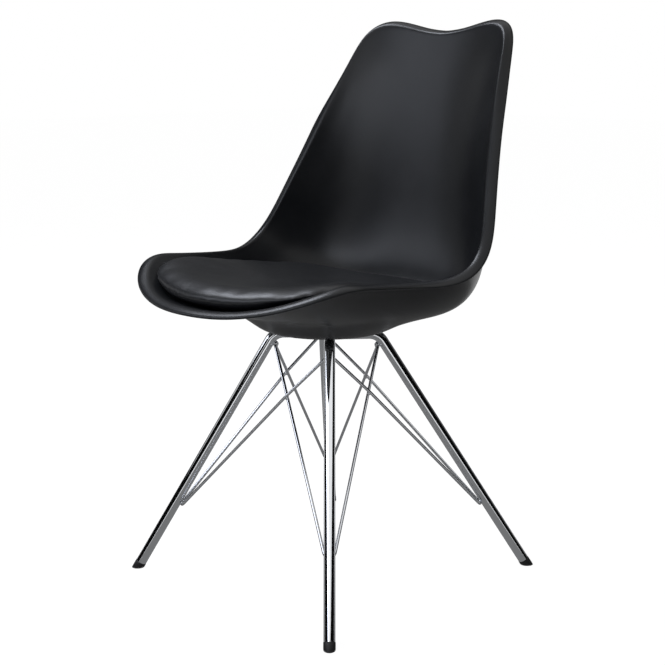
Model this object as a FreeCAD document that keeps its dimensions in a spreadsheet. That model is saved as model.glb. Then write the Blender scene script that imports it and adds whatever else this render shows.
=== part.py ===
import FreeCAD, Part
import math
import os

import Sketcher

from FreeCAD import Placement, Rotation, Vector

# A dining chair: a moulded bucket shell with a padded seat, carried by four splayed tube legs with wire braces.
# +Z is up, the sitter looks along -Y, and the origin lies on the floor below the middle of the chair.

# Sizes in millimetres, angles in degrees
SIZES = {
    # shell
    "shell_wall": 4.0,
    "lip_width": 18.0,
    "lip_droop": 18.0,
    "lip_roll": 72.0,
    "front_round_length": 108.0,
    "front_round_power": 1.85,
    "top_round_length": 62.0,
    "top_round_power": 6.0,
    "ear_lift": 20.0,
    "ear_place": 0.92,
    "floor_height": 392.0,
    "floor_flat_margin": 2.0,
    "floor_blend_width": 44.0,
    # moulded foot under the shell
    "foot_depth": 11.0,
    "foot_shoulder_width": 4.0,
    "foot_fade_width": 36.0,
    "foot_wall": 6.0,
    "plate_clearance": 4.0,
    "boss_radius": 10.0,
    "boss_height": 6.0,
    "rib_thickness": 3.0,
    # frame fastening
    "bolt_circle_radius": 58.0,
    "insert_radius": 4.2,
    "insert_roof": 2.0,
    "bolt_shank_radius": 2.9,
    "bolt_head_radius": 5.5,
    "bolt_head_height": 3.4,
    "bolt_key_radius": 2.3,
    "bolt_key_depth": 1.8,
    "bolt_tip_gap": 1.0,
    "bolt_clearance": 0.4,
    "washer_radius": 7.5,
    "washer_thickness": 1.2,
    "buffer_radius": 9.5,
    "buffer_thickness": 2.0,
    "plate_radius": 70.0,
    "plate_thickness": 3.0,
    # legs
    "tube_diameter": 16.0,
    "tube_wall": 1.5,
    "bend_radius": 24.0,
    "run_start": 32.0,
    "front_leg_origin": 8.7,
    "front_leg_bearing": 45.4,
    "front_leg_corner": 82.2,
    "front_leg_lean": 30.05,
    "rear_leg_origin": -12.4,
    "rear_leg_bearing": 48.45,
    "rear_leg_corner": 86.7,
    "rear_leg_lean": 32.36,
    "weld_gap": 0.1,
    # glides
    "glide_collar_gap": 0.4,
    "glide_height": 9.0,
    "glide_stem_length": 16.0,
    "glide_stem_clearance": 0.15,
    # braces
    "wire_diameter": 4.6,
    "brace_tip_height": 108.0,
    "brace_end_drop": 1.5,
    "brace_tip_radius": 8.0,
    "brace_kink_radius": 60.0,
    "brace_end_spread": 2.9,
    "brace_gap": 0.15,
    "crossing_bead_radius": 4.0,
    "joint_bead_radius": 5.0,
    "bead_clearance": 0.3,
    "run_bead_radius": 2.6,
    "run_bead_inset": 6.0,
    # seat pad
    "board_length": 160.0,
    "board_width": 100.0,
    "board_thickness": 9.0,
    "board_corner_radius": 20.0,
    "pad_screw_place": 30.0,
    "pad_screw_radius": 2.0,
    "pad_screw_head_radius": 4.0,
    "pad_screw_head_height": 2.6,
    "pad_screw_clearance": 0.4,
    "pad_screw_tip_gap": 2.0,
    "pad_gap": 13.0,
    "pad_clearance": 1.6,
    "pad_rear_gap": 67.0,
    "pad_front_rise": 23.0,
    "pad_corner_rise": 14.0,
    "pad_side_rise": 9.5,
    "pad_hip_rise": 11.5,
    "pad_rear_rise": 50.0,
    "pad_middle_rise": 52.0,
    "pad_roll": 9.0,
    "pad_draw_in": 2.0,
    "pad_base_margin": 24.0,
    "cover_thickness": 1.4,
    "cover_gap": 0.2,
}

# Stations along the shell's middle line, from the front lip to the top of the back. Each gives the middle line's
# y and its rise over the seat's floor, the half width at the rim, the rim's y and rise there, and how full the
# section is between the two.
STATION_COLUMNS = ("y", "rise", "half_width", "rim_y", "rim_rise", "fullness")
STATIONS = {
    "lip": (-255.6, 50.0, 192.0, -255.6, 107.0, 2.4),
    "thigh": (-165.0, 29.0, 191.0, -165.0, 93.0, 2.8),
    "fore": (-85.0, 10.0, 190.0, -90.0, 86.0, 3.8),
    "mid": (0.0, 0.0, 196.0, -25.0, 81.0, 4.2),
    "rear": (85.0, 1.0, 217.0, 40.0, 78.0, 4.6),
    "heel": (168.0, 7.0, 218.0, 88.0, 108.0, 5.0),
    "lumbar": (205.0, 98.0, 201.0, 113.0, 168.0, 3.4),
    "back": (221.0, 205.0, 180.0, 146.0, 240.0, 2.5),
    "shoulder": (239.0, 311.0, 161.0, 183.0, 326.0, 2.3),
    "top": (254.4, 411.0, 143.0, 230.5, 412.0, 2.2),
}

doc = FreeCAD.newDocument("padded_shell_chair")
sheet = doc.addObject("Spreadsheet::Sheet", "sizes")
for station_name, station_values in STATIONS.items():
    for column, value in zip(STATION_COLUMNS, station_values):
        SIZES[station_name + "_" + column] = value
for row, (alias, value) in enumerate(SIZES.items(), 1):
    sheet.set("A%d" % row, alias)
    sheet.set("B%d" % row, str(value))
    sheet.setAlias("B%d" % row, alias)
doc.recompute()


def size(alias):
    return float(sheet.get(alias))


def ramp(start, end, value):
    share = min(1.0, max(0.0, (value - start) / (end - start)))
    return share * share * (3.0 - 2.0 * share)


# Sizes that follow from others


def recess_radius():
    return size("plate_radius") + size("plate_clearance")


def foot_radius():
    return recess_radius() + size("foot_wall")


def hub_radius():
    """Radius of the flat disc that the shell's inner rings end on."""
    return 0.75 * foot_radius()


def floor_flat_radius():
    board_corner = math.hypot(size("board_length"), size("board_width")) / 2.0
    return max(board_corner, foot_radius()) + size("floor_flat_margin")


# The shell's inner face as a smooth surface over x and the station number

STATION_ROWS = [[size(name + "_" + column) for column in STATION_COLUMNS] for name in STATIONS]
LAST = len(STATION_ROWS) - 1


def station(place):
    index = min(LAST - 1, max(0, math.floor(place)))
    rows = []
    for neighbour in range(index - 1, index + 3):
        if neighbour < 0:
            rows.append([2.0 * a - b for a, b in zip(STATION_ROWS[0], STATION_ROWS[1])])
        elif neighbour > LAST:
            rows.append([2.0 * a - b for a, b in zip(STATION_ROWS[LAST], STATION_ROWS[LAST - 1])])
        else:
            rows.append(STATION_ROWS[neighbour])
    s = place - index
    weights = (
        (1.0 - s) ** 3 / 6.0,
        (3.0 * s ** 3 - 6.0 * s ** 2 + 4.0) / 6.0,
        (-3.0 * s ** 3 + 3.0 * s ** 2 + 3.0 * s + 1.0) / 6.0,
        s ** 3 / 6.0,
    )
    return [sum(w * row[column] for w, row in zip(weights, rows)) for column in range(len(STATION_COLUMNS))]


def station_at(y):
    low, high = 0.0, float(LAST)
    for _ in range(40):
        middle = (low + high) / 2.0
        if station(middle)[0] < y:
            low = middle
        else:
            high = middle
    return low


def shell_point(x, place):
    y, rise, half_width, rim_y, rim_rise, fullness = station(place)
    share = abs(x / half_width) ** fullness
    point = Vector(x, y + (rim_y - y) * share, rise + (rim_rise - rise) * share)
    flat_radius = floor_flat_radius()
    point.z *= ramp(flat_radius, flat_radius + size("floor_blend_width"), math.hypot(point.x, point.y))
    point.z += size("floor_height")
    return point


def shell_normal(x, place):
    step_x, step_place = 1.0, 0.01
    along_x = shell_point(x + step_x, place) - shell_point(x - step_x, place)
    along_place = shell_point(x, place + step_place) - shell_point(x, place - step_place)
    return along_x.cross(along_place).normalize()


def crest_line(half_count):
    """The lip's inner edge as (x, station) pairs, evenly spaced once round, starting at the middle of the front."""
    front_end = station_at(size("lip_y") + size("front_round_length"))
    front_power = 2.0 / size("front_round_power")
    per_station = size("top_rise") - size("shoulder_rise")
    top_start = LAST - size("top_round_length") / per_station
    top_power = 2.0 / size("top_round_power")
    steps = 240
    line = []
    for k in range(steps):
        turn = k / steps * math.pi / 2.0
        place = front_end * (1.0 - math.cos(turn) ** front_power)
        line.append((station(place)[2] * math.sin(turn) ** front_power, place))
    for k in range(steps):
        place = front_end + (top_start - front_end) * k / steps
        line.append((station(place)[2], place))
    for k in range(steps + 1):
        turn = k / steps * math.pi / 2.0
        across = max(0.0, math.cos(turn)) ** top_power
        lift = size("ear_lift") / per_station * ramp(0.0, size("ear_place"), across)
        place = top_start + (LAST - top_start + lift) * math.sin(turn) ** top_power
        line.append((station(min(place, LAST))[2] * across, place))
    lengths = [0.0]
    for (x0, p0), (x1, p1) in zip(line, line[1:]):
        lengths.append(lengths[-1] + (shell_point(x1, p1) - shell_point(x0, p0)).Length)
    half = []
    index = 0
    for k in range(half_count + 1):
        wanted = lengths[-1] * k / half_count
        while index < len(line) - 2 and lengths[index + 1] < wanted:
            index += 1
        share = (wanted - lengths[index]) / (lengths[index + 1] - lengths[index])
        half.append(tuple(a + (b - a) * share for a, b in zip(line[index], line[index + 1])))
    return half + [(-x, place) for x, place in half[-2:0:-1]]


def inner_ring(crest, share, hub_radius):
    """A ring inside the lip: share 0 is the crest, share 1 the round hub on the floor."""
    hub = station_at(0.0)
    pitch = size("rear_y") - size("mid_y")
    ring = []
    for x, place in crest:
        bearing = math.atan2(x, (hub - place) * pitch)
        hub_x = hub_radius * math.sin(bearing)
        hub_place = station_at(-hub_radius * math.cos(bearing))
        ring.append((x + (hub_x - x) * share, place + (hub_place - place) * share))
    return ring


def lip_frames(crest):
    """At each crest point: the point, the way out along the shell, the shell's normal, and the lip's two ways."""
    count = len(crest)
    points = [shell_point(x, place) for x, place in crest]
    frames = []
    for k, (x, place) in enumerate(crest):
        along = (points[(k + 1) % count] - points[k - 1]).normalize()
        normal = shell_normal(x, place)
        outward = along.cross(normal).normalize()
        y, level, _, rim_y, rim_level, _ = station(place)
        rise = Vector(0.0, rim_y - y, rim_level - level).normalize()
        forth = Vector(0.0, rise.z, -rise.y)
        side = (Vector(1.0, 0.0, 0.0) * along.dot(forth) - forth * along.x).normalize()
        turned = ramp(LAST - 1.8, LAST, place)
        droop = math.radians(size("lip_droop") + (size("lip_roll") - size("lip_droop")) * turned)
        lip_way = side * math.cos(droop) - rise * math.sin(droop)
        lip_normal = side * math.sin(droop) + rise * math.cos(droop)
        frames.append((points[k], outward, normal, lip_way, lip_normal))
    return frames


RING_SHARES = (1.0, 0.97, 0.93, 0.88, 0.82, 0.75, 0.67, 0.58, 0.49, 0.40, 0.31, 0.22, 0.15, 0.10)


def shell_rows(crest):
    """Rows of control points: over the inner face, round the lip and back over the outer face."""
    wall = size("shell_wall")
    width = size("lip_width")
    shoulder = foot_radius() + size("foot_shoulder_width")
    frames = lip_frames(crest)
    rows = []
    for share in RING_SHARES:
        rows.append([shell_point(x, place) for x, place in inner_ring(crest, share, hub_radius())])
    rows.append([p - m * 8.0 for p, m, n, e, f in frames])
    rows.append([p - m * 3.0 for p, m, n, e, f in frames])
    rows.append([p + e * 0.5 for p, m, n, e, f in frames])
    for reach in (4.0, width / 2.0, width - 3.0, width - 0.5):
        rows.append([p + e * reach for p, m, n, e, f in frames])
    rows.append([p + e * width - f * (wall / 2.0) for p, m, n, e, f in frames])
    for reach in (width - 0.5, width - 3.0, width / 2.0 + 2.0):
        rows.append([p + e * reach - f * wall for p, m, n, e, f in frames])
    for back in (0.0, 5.0, 10.0):
        corner_row = []
        for p, m, n, e, f in frames:
            slide = -wall * (1.0 - n.dot(f)) / m.dot(f)
            corner_row.append(p - n * wall + m * (slide - back))
        rows.append(corner_row)
    for share in reversed(RING_SHARES):
        row = []
        for x, place in inner_ring(crest, share, foot_radius()):
            point = shell_point(x, place) - shell_normal(x, place) * wall
            fade = ramp(shoulder, shoulder + size("foot_fade_width"), math.hypot(point.x, point.y))
            row.append(point - Vector(0.0, 0.0, size("foot_depth") * (1.0 - fade)))
        rows.append(row)
    return rows


def skin_solid(rows):
    """A closed solid whose skin follows the control rows and whose first and last rows are flat ends."""
    round_count, row_count = len(rows[0]), len(rows)
    poles = [[rows[v][u] for v in range(row_count)] for u in range(round_count)]
    surface = Part.BSplineSurface()
    surface.buildFromPolesMultsKnots(
        poles,
        [1] * (round_count + 1),
        [4] + [1] * (row_count - 4) + [4],
        [float(k) for k in range(round_count + 1)],
        [float(k) for k in range(row_count - 2)],
        True,
        False,
        3,
        3,
    )
    skin = surface.toShape()
    ends = []
    for edge in skin.Edges:
        if edge.isClosed() and edge.BoundBox.ZLength < 0.001:
            ends.append(Part.Face(Part.Wire([edge])))
    shell = Part.Shell([skin] + ends)
    shell.sewShape()
    solid = Part.Solid(shell)
    if solid.Volume < 0.0:
        solid.reverse()
    return solid


CREST = crest_line(56)

# Small builders

QUARTERS = ((1, 0), (0, 1), (-1, 0), (0, -1))
FLOOR_UNDERSIDE = "sizes.floor_height - sizes.shell_wall"
BOSS_LEVEL = FLOOR_UNDERSIDE + " - sizes.boss_height"
PLATE_TOP = BOSS_LEVEL + " - sizes.buffer_thickness"
PLATE_UNDERSIDE = PLATE_TOP + " - sizes.plate_thickness"
RUN_LEVEL = PLATE_UNDERSIDE + " - sizes.weld_gap - sizes.tube_diameter / 2"
RECESS_RADIUS = "sizes.plate_radius + sizes.plate_clearance"
INSERT_LENGTH = "sizes.boss_height + sizes.shell_wall - sizes.insert_roof"
BOLT_HOLE_RADIUS = "sizes.bolt_shank_radius + sizes.bolt_clearance"
SCREW_GRIP = "sizes.board_thickness - sizes.pad_screw_tip_gap"
NODES = {}


def node(label, piece):
    piece.Label = label
    NODES[label] = piece
    return piece


def formed(name, shape):
    piece = doc.addObject("Part::Feature", name)
    piece.Shape = shape
    return piece


def cylinder(name, radius, height, x="0", y="0", z="0"):
    piece = doc.addObject("Part::Cylinder", name)
    piece.setExpression("Radius", radius)
    piece.setExpression("Height", height)
    piece.setExpression("Placement.Base.x", x)
    piece.setExpression("Placement.Base.y", y)
    piece.setExpression("Placement.Base.z", z)
    return piece


def cut(name, base, tool):
    piece = doc.addObject("Part::Cut", name)
    piece.Base = base
    piece.Tool = tool
    return piece


def fuse(name, pieces):
    piece = doc.addObject("Part::MultiFuse", name)
    piece.Shapes = pieces
    return piece


def group(name, pieces):
    piece = doc.addObject("Part::Compound", name)
    piece.Links = pieces
    return piece


def around(name, radius, height, z, circle="sizes.bolt_circle_radius"):
    """Four equal upright cylinders on a circle, on the X and Y axes."""
    pieces = []
    for k, (across, along) in enumerate(QUARTERS, 1):
        x = "%d * %s" % (across, circle)
        y = "%d * %s" % (along, circle)
        pieces.append(cylinder("%s_%d" % (name, k), radius, height, x, y, z))
    return pieces


def sketch_on(body, name, role):
    sketch = body.newObject("Sketcher::SketchObject", name)
    plane = next(feature for feature in body.Origin.OriginFeatures if feature.Role == role)
    sketch.AttachmentSupport = [(plane, "")]
    sketch.MapMode = "FlatFace"
    return sketch


def constrain(sketch, name, expression, *terms):
    index = sketch.addConstraint(Sketcher.Constraint(*terms))
    sketch.renameConstraint(index, name)
    sketch.setExpression("Constraints." + name, expression)


# Shell


def make_shell():
    skin = formed("shell_skin", skin_solid(shell_rows(CREST)))
    foot_level = FLOOR_UNDERSIDE + " - sizes.foot_depth"
    recess = cylinder("foot_recess", RECESS_RADIUS, "sizes.foot_depth", z=foot_level)
    hollow = cut("shell_hollow", skin, recess)
    bosses = around("boss", "sizes.boss_radius", "sizes.boss_height", BOSS_LEVEL)
    ribs = []
    for k, (across, along) in enumerate(QUARTERS, 1):
        rib = doc.addObject("Part::Box", "boss_rib_%d" % k)
        reach = "(%s - sizes.bolt_circle_radius + sizes.foot_wall / 2)" % RECESS_RADIUS
        rib.setExpression("Length", reach if across else "sizes.rib_thickness")
        rib.setExpression("Width", reach if along else "sizes.rib_thickness")
        rib.setExpression("Height", "sizes.boss_height")
        low = {1: "sizes.bolt_circle_radius", 0: "-sizes.rib_thickness / 2", -1: "-sizes.bolt_circle_radius - " + reach}
        rib.setExpression("Placement.Base.x", low[across])
        rib.setExpression("Placement.Base.y", low[along])
        rib.setExpression("Placement.Base.z", BOSS_LEVEL)
        ribs.append(rib)
    body = fuse("shell_body", [hollow] + bosses + ribs)
    bores = around("insert_bore", "sizes.insert_radius", INSERT_LENGTH, BOSS_LEVEL)
    hole_radius = "sizes.pad_screw_radius + sizes.pad_screw_clearance"
    for k, (x, y) in enumerate(SCREW_PLACES, 1):
        bores.append(cylinder("screw_hole_%d" % k, hole_radius, "sizes.shell_wall", x, y, FLOOR_UNDERSIDE))
    return cut("shell", body, fuse("shell_bores", bores))


SCREW_PLACES = []
for side in ("", "-"):
    for end in ("", "-"):
        SCREW_PLACES.append((side + "sizes.pad_screw_place", end + "sizes.pad_screw_place"))


def make_inserts():
    sleeves = around("insert_sleeve", "sizes.insert_radius", INSERT_LENGTH, BOSS_LEVEL)
    threads = around("insert_thread", "sizes.bolt_shank_radius", INSERT_LENGTH, BOSS_LEVEL)
    return group("inserts", [cut("insert_%d" % k, s, t) for k, (s, t) in enumerate(zip(sleeves, threads), 1)])


def make_buffers():
    pads = around("buffer_pad", "sizes.buffer_radius", "sizes.buffer_thickness", PLATE_TOP)
    holes = around("buffer_hole", BOLT_HOLE_RADIUS, "sizes.buffer_thickness", PLATE_TOP)
    return group("buffers", [cut("buffer_%d" % k, p, h) for k, (p, h) in enumerate(zip(pads, holes), 1)])


def make_washers():
    level = PLATE_UNDERSIDE + " - sizes.washer_thickness"
    discs = around("washer_disc", "sizes.washer_radius", "sizes.washer_thickness", level)
    holes = around("washer_hole", BOLT_HOLE_RADIUS, "sizes.washer_thickness", level)
    return group("washers", [cut("washer_%d" % k, d, h) for k, (d, h) in enumerate(zip(discs, holes), 1)])


def make_bolts():
    head_level = PLATE_UNDERSIDE + " - sizes.washer_thickness - sizes.bolt_head_height"
    grip = INSERT_LENGTH + " - sizes.bolt_tip_gap"
    stack = "sizes.washer_thickness + sizes.plate_thickness + sizes.buffer_thickness + " + grip
    heads = around("bolt_head", "sizes.bolt_head_radius", "sizes.bolt_head_height", head_level)
    shank_level = PLATE_UNDERSIDE + " - sizes.washer_thickness"
    shanks = around("bolt_shank", "sizes.bolt_shank_radius", stack, shank_level)
    bolts = []
    for k, (head, shank) in enumerate(zip(heads, shanks), 1):
        key = doc.addObject("Part::Prism", "bolt_key_%d" % k)
        key.Polygon = 6
        key.setExpression("Circumradius", "sizes.bolt_key_radius")
        key.setExpression("Height", "sizes.bolt_key_depth")
        for axis in "xyz":
            key.setExpression("Placement.Base." + axis, head.Name + ".Placement.Base." + axis)
        bolts.append(cut("bolt_%d" % k, fuse("bolt_blank_%d" % k, [head, shank]), key))
    return group("bolts", bolts)


# Frame


def make_plate():
    body = doc.addObject("PartDesign::Body", "plate")
    outline = sketch_on(body, "plate_outline", "XY_Plane")
    outline.setExpression("AttachmentOffset.Base.z", PLATE_UNDERSIDE)
    disc = outline.addGeometry(Part.Circle(Vector(0, 0, 0), Vector(0, 0, 1), size("plate_radius")))
    outline.addConstraint(Sketcher.Constraint("Coincident", disc, 3, -1, 1))
    constrain(outline, "plate_radius", "sizes.plate_radius", "Radius", disc, size("plate_radius"))
    pad = body.newObject("PartDesign::Pad", "plate_pad")
    pad.Profile = outline
    pad.setExpression("Length", "sizes.plate_thickness")
    hole_sketch = sketch_on(body, "plate_hole_sketch", "XY_Plane")
    hole_sketch.setExpression("AttachmentOffset.Base.z", PLATE_TOP)
    place = Vector(size("bolt_circle_radius"), 0, 0)
    hole_radius = size("bolt_shank_radius") + size("bolt_clearance")
    hole = hole_sketch.addGeometry(Part.Circle(place, Vector(0, 0, 1), hole_radius))
    hole_sketch.addConstraint(Sketcher.Constraint("PointOnObject", hole, 3, -1))
    constrain(hole_sketch, "circle", "sizes.bolt_circle_radius", "DistanceX", -1, 1, hole, 3, place.x)
    constrain(hole_sketch, "hole", BOLT_HOLE_RADIUS, "Radius", hole, hole_radius)
    pocket = body.newObject("PartDesign::Pocket", "plate_hole")
    pocket.Profile = hole_sketch
    pocket.Type = "ThroughAll"
    pattern = body.newObject("PartDesign::PolarPattern", "plate_holes")
    pattern.Originals = [pocket]
    turn_axis = next(feature for feature in body.Origin.OriginFeatures if feature.Role == "Z_Axis")
    pattern.Axis = (turn_axis, [""])
    pattern.Angle = 360
    pattern.Occurrences = len(QUARTERS)
    body.Tip = pattern
    return body


LEGS = {
    "front_left": ("front_leg", 1, -1),
    "rear_left": ("rear_leg", 1, 1),
    "rear_right": ("rear_leg", -1, 1),
    "front_right": ("front_leg", -1, -1),
}


def leg_turn(kind, across, along):
    """The leg's plane, as an angle about Z from the X axis."""
    bearing = along * size(kind + "_bearing")
    return bearing if across > 0 else 180.0 - bearing


def leg_placement(name):
    kind, across, along = LEGS[name]
    turn = Rotation(Vector(0, 0, 1), leg_turn(kind, across, along))
    return Placement(Vector(0, size(kind + "_origin"), 0), turn)


def run_level():
    stack = ("shell_wall", "boss_height", "buffer_thickness", "plate_thickness", "weld_gap")
    return size("floor_height") - sum(size(part) for part in stack) - size("tube_diameter") / 2.0


def leg_reach(kind, level):
    """How far out the leg's axis is at a height, in the leg's plane."""
    lean = math.radians(size(kind + "_lean"))
    return size(kind + "_corner") + (run_level() - level) * math.tan(lean)


def make_leg(name):
    kind = LEGS[name][0]
    lean = math.radians(size(kind + "_lean"))
    level = run_level()
    foot_level = size("glide_height")
    bend = size("bend_radius")
    corner = Vector(leg_reach(kind, level), level, 0)
    foot = Vector(leg_reach(kind, foot_level), foot_level, 0)
    tangent = bend * math.tan((math.pi / 2.0 - lean) / 2.0)
    down = (foot - corner).normalize()
    start = Vector(size("run_start"), level, 0)
    bend_start = corner - Vector(tangent, 0, 0)
    bend_end = corner + down * tangent
    centre = bend_start - Vector(0, bend, 0)
    middle = centre + (corner - centre).normalize() * bend
    body = doc.addObject("PartDesign::Body", "leg_" + name)
    path = sketch_on(body, "path_" + name, "XZ_Plane")
    run = path.addGeometry(Part.LineSegment(start, bend_start))
    arc = path.addGeometry(Part.Arc(bend_start, middle, bend_end))
    shin = path.addGeometry(Part.LineSegment(bend_end, foot))
    arc_first = 2
    path.addConstraint(Sketcher.Constraint("Horizontal", run))
    path.addConstraint(Sketcher.Constraint("Tangent", run, 2, arc, arc_first))
    path.addConstraint(Sketcher.Constraint("Tangent", arc, 1, shin, 1))
    constrain(path, "start", "sizes.run_start", "DistanceX", -1, 1, run, 1, start.x)
    constrain(path, "level", RUN_LEVEL, "DistanceY", -1, 1, run, 1, level)
    constrain(path, "bend", "sizes.bend_radius", "Radius", arc, bend)
    lean_size = "sizes.%s_lean * 1 deg" % kind
    foot_reach = "sizes.%s_corner + (%s - sizes.glide_height) * tan(%s)" % (kind, RUN_LEVEL, lean_size)
    constrain(path, "reach", foot_reach, "DistanceX", -1, 1, shin, 2, foot.x)
    constrain(path, "foot", "sizes.glide_height", "DistanceY", -1, 1, shin, 2, foot_level)
    for feature, radius in (("AdditivePipe", "0"), ("SubtractivePipe", "sizes.tube_wall")):
        section = sketch_on(body, feature + "_section_" + name, "YZ_Plane")
        section.setExpression("AttachmentOffset.Base.z", "sizes.run_start")
        numeric = size("tube_diameter") / 2.0 - (size("tube_wall") if "wall" in radius else 0.0)
        ring = section.addGeometry(Part.Circle(Vector(0, level, 0), Vector(0, 0, 1), numeric))
        section.addConstraint(Sketcher.Constraint("PointOnObject", ring, 3, -2))
        constrain(section, "level", RUN_LEVEL, "DistanceY", -1, 1, ring, 3, level)
        constrain(section, "radius", "sizes.tube_diameter / 2 - " + radius, "Radius", ring, numeric)
        pipe = body.newObject("PartDesign::" + feature, feature + "_" + name)
        pipe.Profile = section
        pipe.Spine = (path, ["Edge1", "Edge2", "Edge3"])
        doc.recompute()
    body.Placement = leg_placement(name)
    return body


def leg_axis(name, level):
    """The point on the leg's axis at a height, and the unit vectors up the leg, to its inner side and across it."""
    kind = LEGS[name][0]
    lean = math.radians(size(kind + "_lean"))
    placement = leg_placement(name)
    point = placement.multVec(Vector(leg_reach(kind, level), 0, level))
    up = placement.Rotation.multVec(Vector(-math.sin(lean), 0, math.cos(lean)))
    inner = placement.Rotation.multVec(Vector(-math.cos(lean), 0, -math.sin(lean)))
    return point, up, inner, up.cross(inner)


def make_glide(name):
    """A plug in the tube's end whose collar is cut level with the floor."""
    lean = "sizes.%s_lean * 1 deg" % LEGS[name][0]
    foot, up, inner, across = leg_axis(name, size("glide_height"))
    collar_radius = "(sizes.tube_diameter / 2 + sizes.glide_collar_gap)"
    collar = doc.addObject("Part::Cylinder", "collar_" + name)
    collar.setExpression("Radius", collar_radius)
    collar.setExpression("Height", "sizes.glide_height / cos(%s) + %s" % (lean, collar_radius))
    collar.Placement = Placement(foot, Rotation(Vector(0, 0, 1), up * -1.0))
    stem = doc.addObject("Part::Cylinder", "stem_" + name)
    stem.setExpression("Radius", "sizes.tube_diameter / 2 - sizes.tube_wall - sizes.glide_stem_clearance")
    stem.setExpression("Height", "sizes.glide_stem_length")
    stem.Placement = Placement(foot, Rotation(Vector(0, 0, 1), up))
    above = doc.addObject("Part::Box", "above_floor_" + name)
    span = "4 * sizes.tube_diameter"
    above.setExpression("Length", span)
    above.setExpression("Width", span)
    above.setExpression("Height", "sizes.glide_height + sizes.glide_stem_length + sizes.tube_diameter")
    half_span = 2.0 * size("tube_diameter")
    above.Placement = Placement(Vector(foot.x - half_span, foot.y - half_span, 0), Rotation())
    glide = doc.addObject("Part::Common", "glide_" + name)
    glide.Base = fuse("glide_blank_" + name, [collar, stem])
    glide.Tool = above
    return glide


# Each brace has its tip low on one leg and its ends at the tops of the two neighbouring legs. The braces of the front
# left and rear right legs run straight, and the other two step out over them where they cross.

RING_OF_LEGS = tuple(LEGS)
STRAIGHT_BRACES = ("front_left", "rear_right")


def neighbours(name):
    index = RING_OF_LEGS.index(name)
    return RING_OF_LEGS[index - 1], RING_OF_LEGS[(index + 1) % len(RING_OF_LEGS)]


def wire_offset():
    return (size("tube_diameter") + size("wire_diameter")) / 2.0 + size("brace_gap")


def brace_tip(name):
    point, up, inner, across = leg_axis(name, size("brace_tip_height"))
    return point + inner * wire_offset()


def brace_end_height(leg):
    """A little below the end of the leg's bend."""
    lean = math.radians(size(LEGS[leg][0] + "_lean"))
    bend_drop = size("bend_radius") * math.tan((math.pi / 2.0 - lean) / 2.0) * math.cos(lean)
    return run_level() - bend_drop - size("brace_end_drop")


def brace_end(leg, towards):
    """The end of a wire on the leg's inner side, a little towards the leg whose brace it belongs to."""
    point, up, inner, across = leg_axis(leg, brace_end_height(leg))
    spread = size("brace_end_spread")
    side = 1.0 if across.dot(leg_axis(towards, 0.0)[0] - point) > 0.0 else -1.0
    sunk = math.sqrt(wire_offset() ** 2 - spread ** 2)
    return point + inner * sunk + across * (side * spread)


def crossing(straight, stepped):
    """Where two braces cross: the point on the straight one and the point that the other steps out to."""
    a, b = brace_corner(straight), brace_end(stepped, straight)
    c, d = brace_corner(stepped), brace_end(straight, stepped)
    u, v, w = b - a, d - c, a - c
    normal = u.cross(v)
    share = v.cross(w).dot(normal) / normal.dot(normal)
    on_straight = a + u * share
    outward = normal.normalize()
    if outward.dot(Vector(on_straight.x, on_straight.y, 0.0)) < 0.0:
        outward = outward * -1.0
    return on_straight, on_straight + outward * (size("wire_diameter") + size("brace_gap"))


def rounded_path(points, radii):
    """Straight runs joined by tangent arcs."""
    edges = []
    start = points[0]
    for before, corner, after, radius in zip(points, points[1:], points[2:], radii):
        to_before = (before - corner).normalize()
        to_after = (after - corner).normalize()
        half_angle = to_before.getAngle(to_after) / 2.0
        tangent = radius / math.tan(half_angle)
        arc_start = corner + to_before * tangent
        arc_end = corner + to_after * tangent
        middle_way = (to_before + to_after).normalize()
        arc_middle = corner + middle_way * (radius / math.sin(half_angle) - radius)
        edges.append(Part.LineSegment(start, arc_start).toShape())
        edges.append(Part.Arc(arc_start, arc_middle, arc_end).toShape())
        start = arc_end
    edges.append(Part.LineSegment(start, points[-1]).toShape())
    return Part.Wire(edges)


def brace_corner(name):
    """The corner of the V, so far below its tip that the rounded bend just reaches the tip."""
    tip = corner = brace_tip(name)
    radius = size("brace_tip_radius")
    for _ in range(12):
        ways = [(brace_end(leg, name) - corner).normalize() for leg in neighbours(name)]
        half_angle = ways[0].getAngle(ways[1]) / 2.0
        corner = tip - (ways[0] + ways[1]).normalize() * (radius / math.sin(half_angle) - radius)
    return corner


def brace_points(name):
    """The corners of a brace's path, from one end over the V's corner to the other end."""
    before, after = neighbours(name)
    if name in STRAIGHT_BRACES:
        return [brace_end(before, name), brace_corner(name), brace_end(after, name)]
    first, last = crossing(before, name)[1], crossing(after, name)[1]
    return [brace_end(before, name), first, brace_corner(name), last, brace_end(after, name)]


def make_brace(name):
    points = brace_points(name)
    radii = [size("brace_kink_radius")] * (len(points) - 2)
    radii[len(radii) // 2] = size("brace_tip_radius")
    path = rounded_path(points, radii)
    way = (points[1] - points[0]).normalize()
    section = Part.Wire([Part.Circle(points[0], way, size("wire_diameter") / 2.0).toShape()])
    return formed("brace_" + name, path.makePipeShell([section], True, False))


def tip_bend(name, wire_radius):
    """The full ring that the rounded bend at a brace's tip is a piece of."""
    points = brace_points(name)
    middle = len(points) // 2
    corner = points[middle]
    to_before = (points[middle - 1] - corner).normalize()
    to_after = (points[middle + 1] - corner).normalize()
    radius = size("brace_tip_radius")
    inward = (to_before + to_after).normalize()
    centre = corner + inward * (radius / math.sin(to_before.getAngle(to_after) / 2.0))
    return Part.makeTorus(radius, wire_radius, centre, to_before.cross(to_after))


def rod(start, end, radius):
    """A straight rod through two points that runs a little past both."""
    over = (end - start).normalize() * (2.0 * size("joint_bead_radius"))
    return Part.makeCylinder(radius, (end - start + over * 2.0).Length, start - over, end - start)


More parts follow.
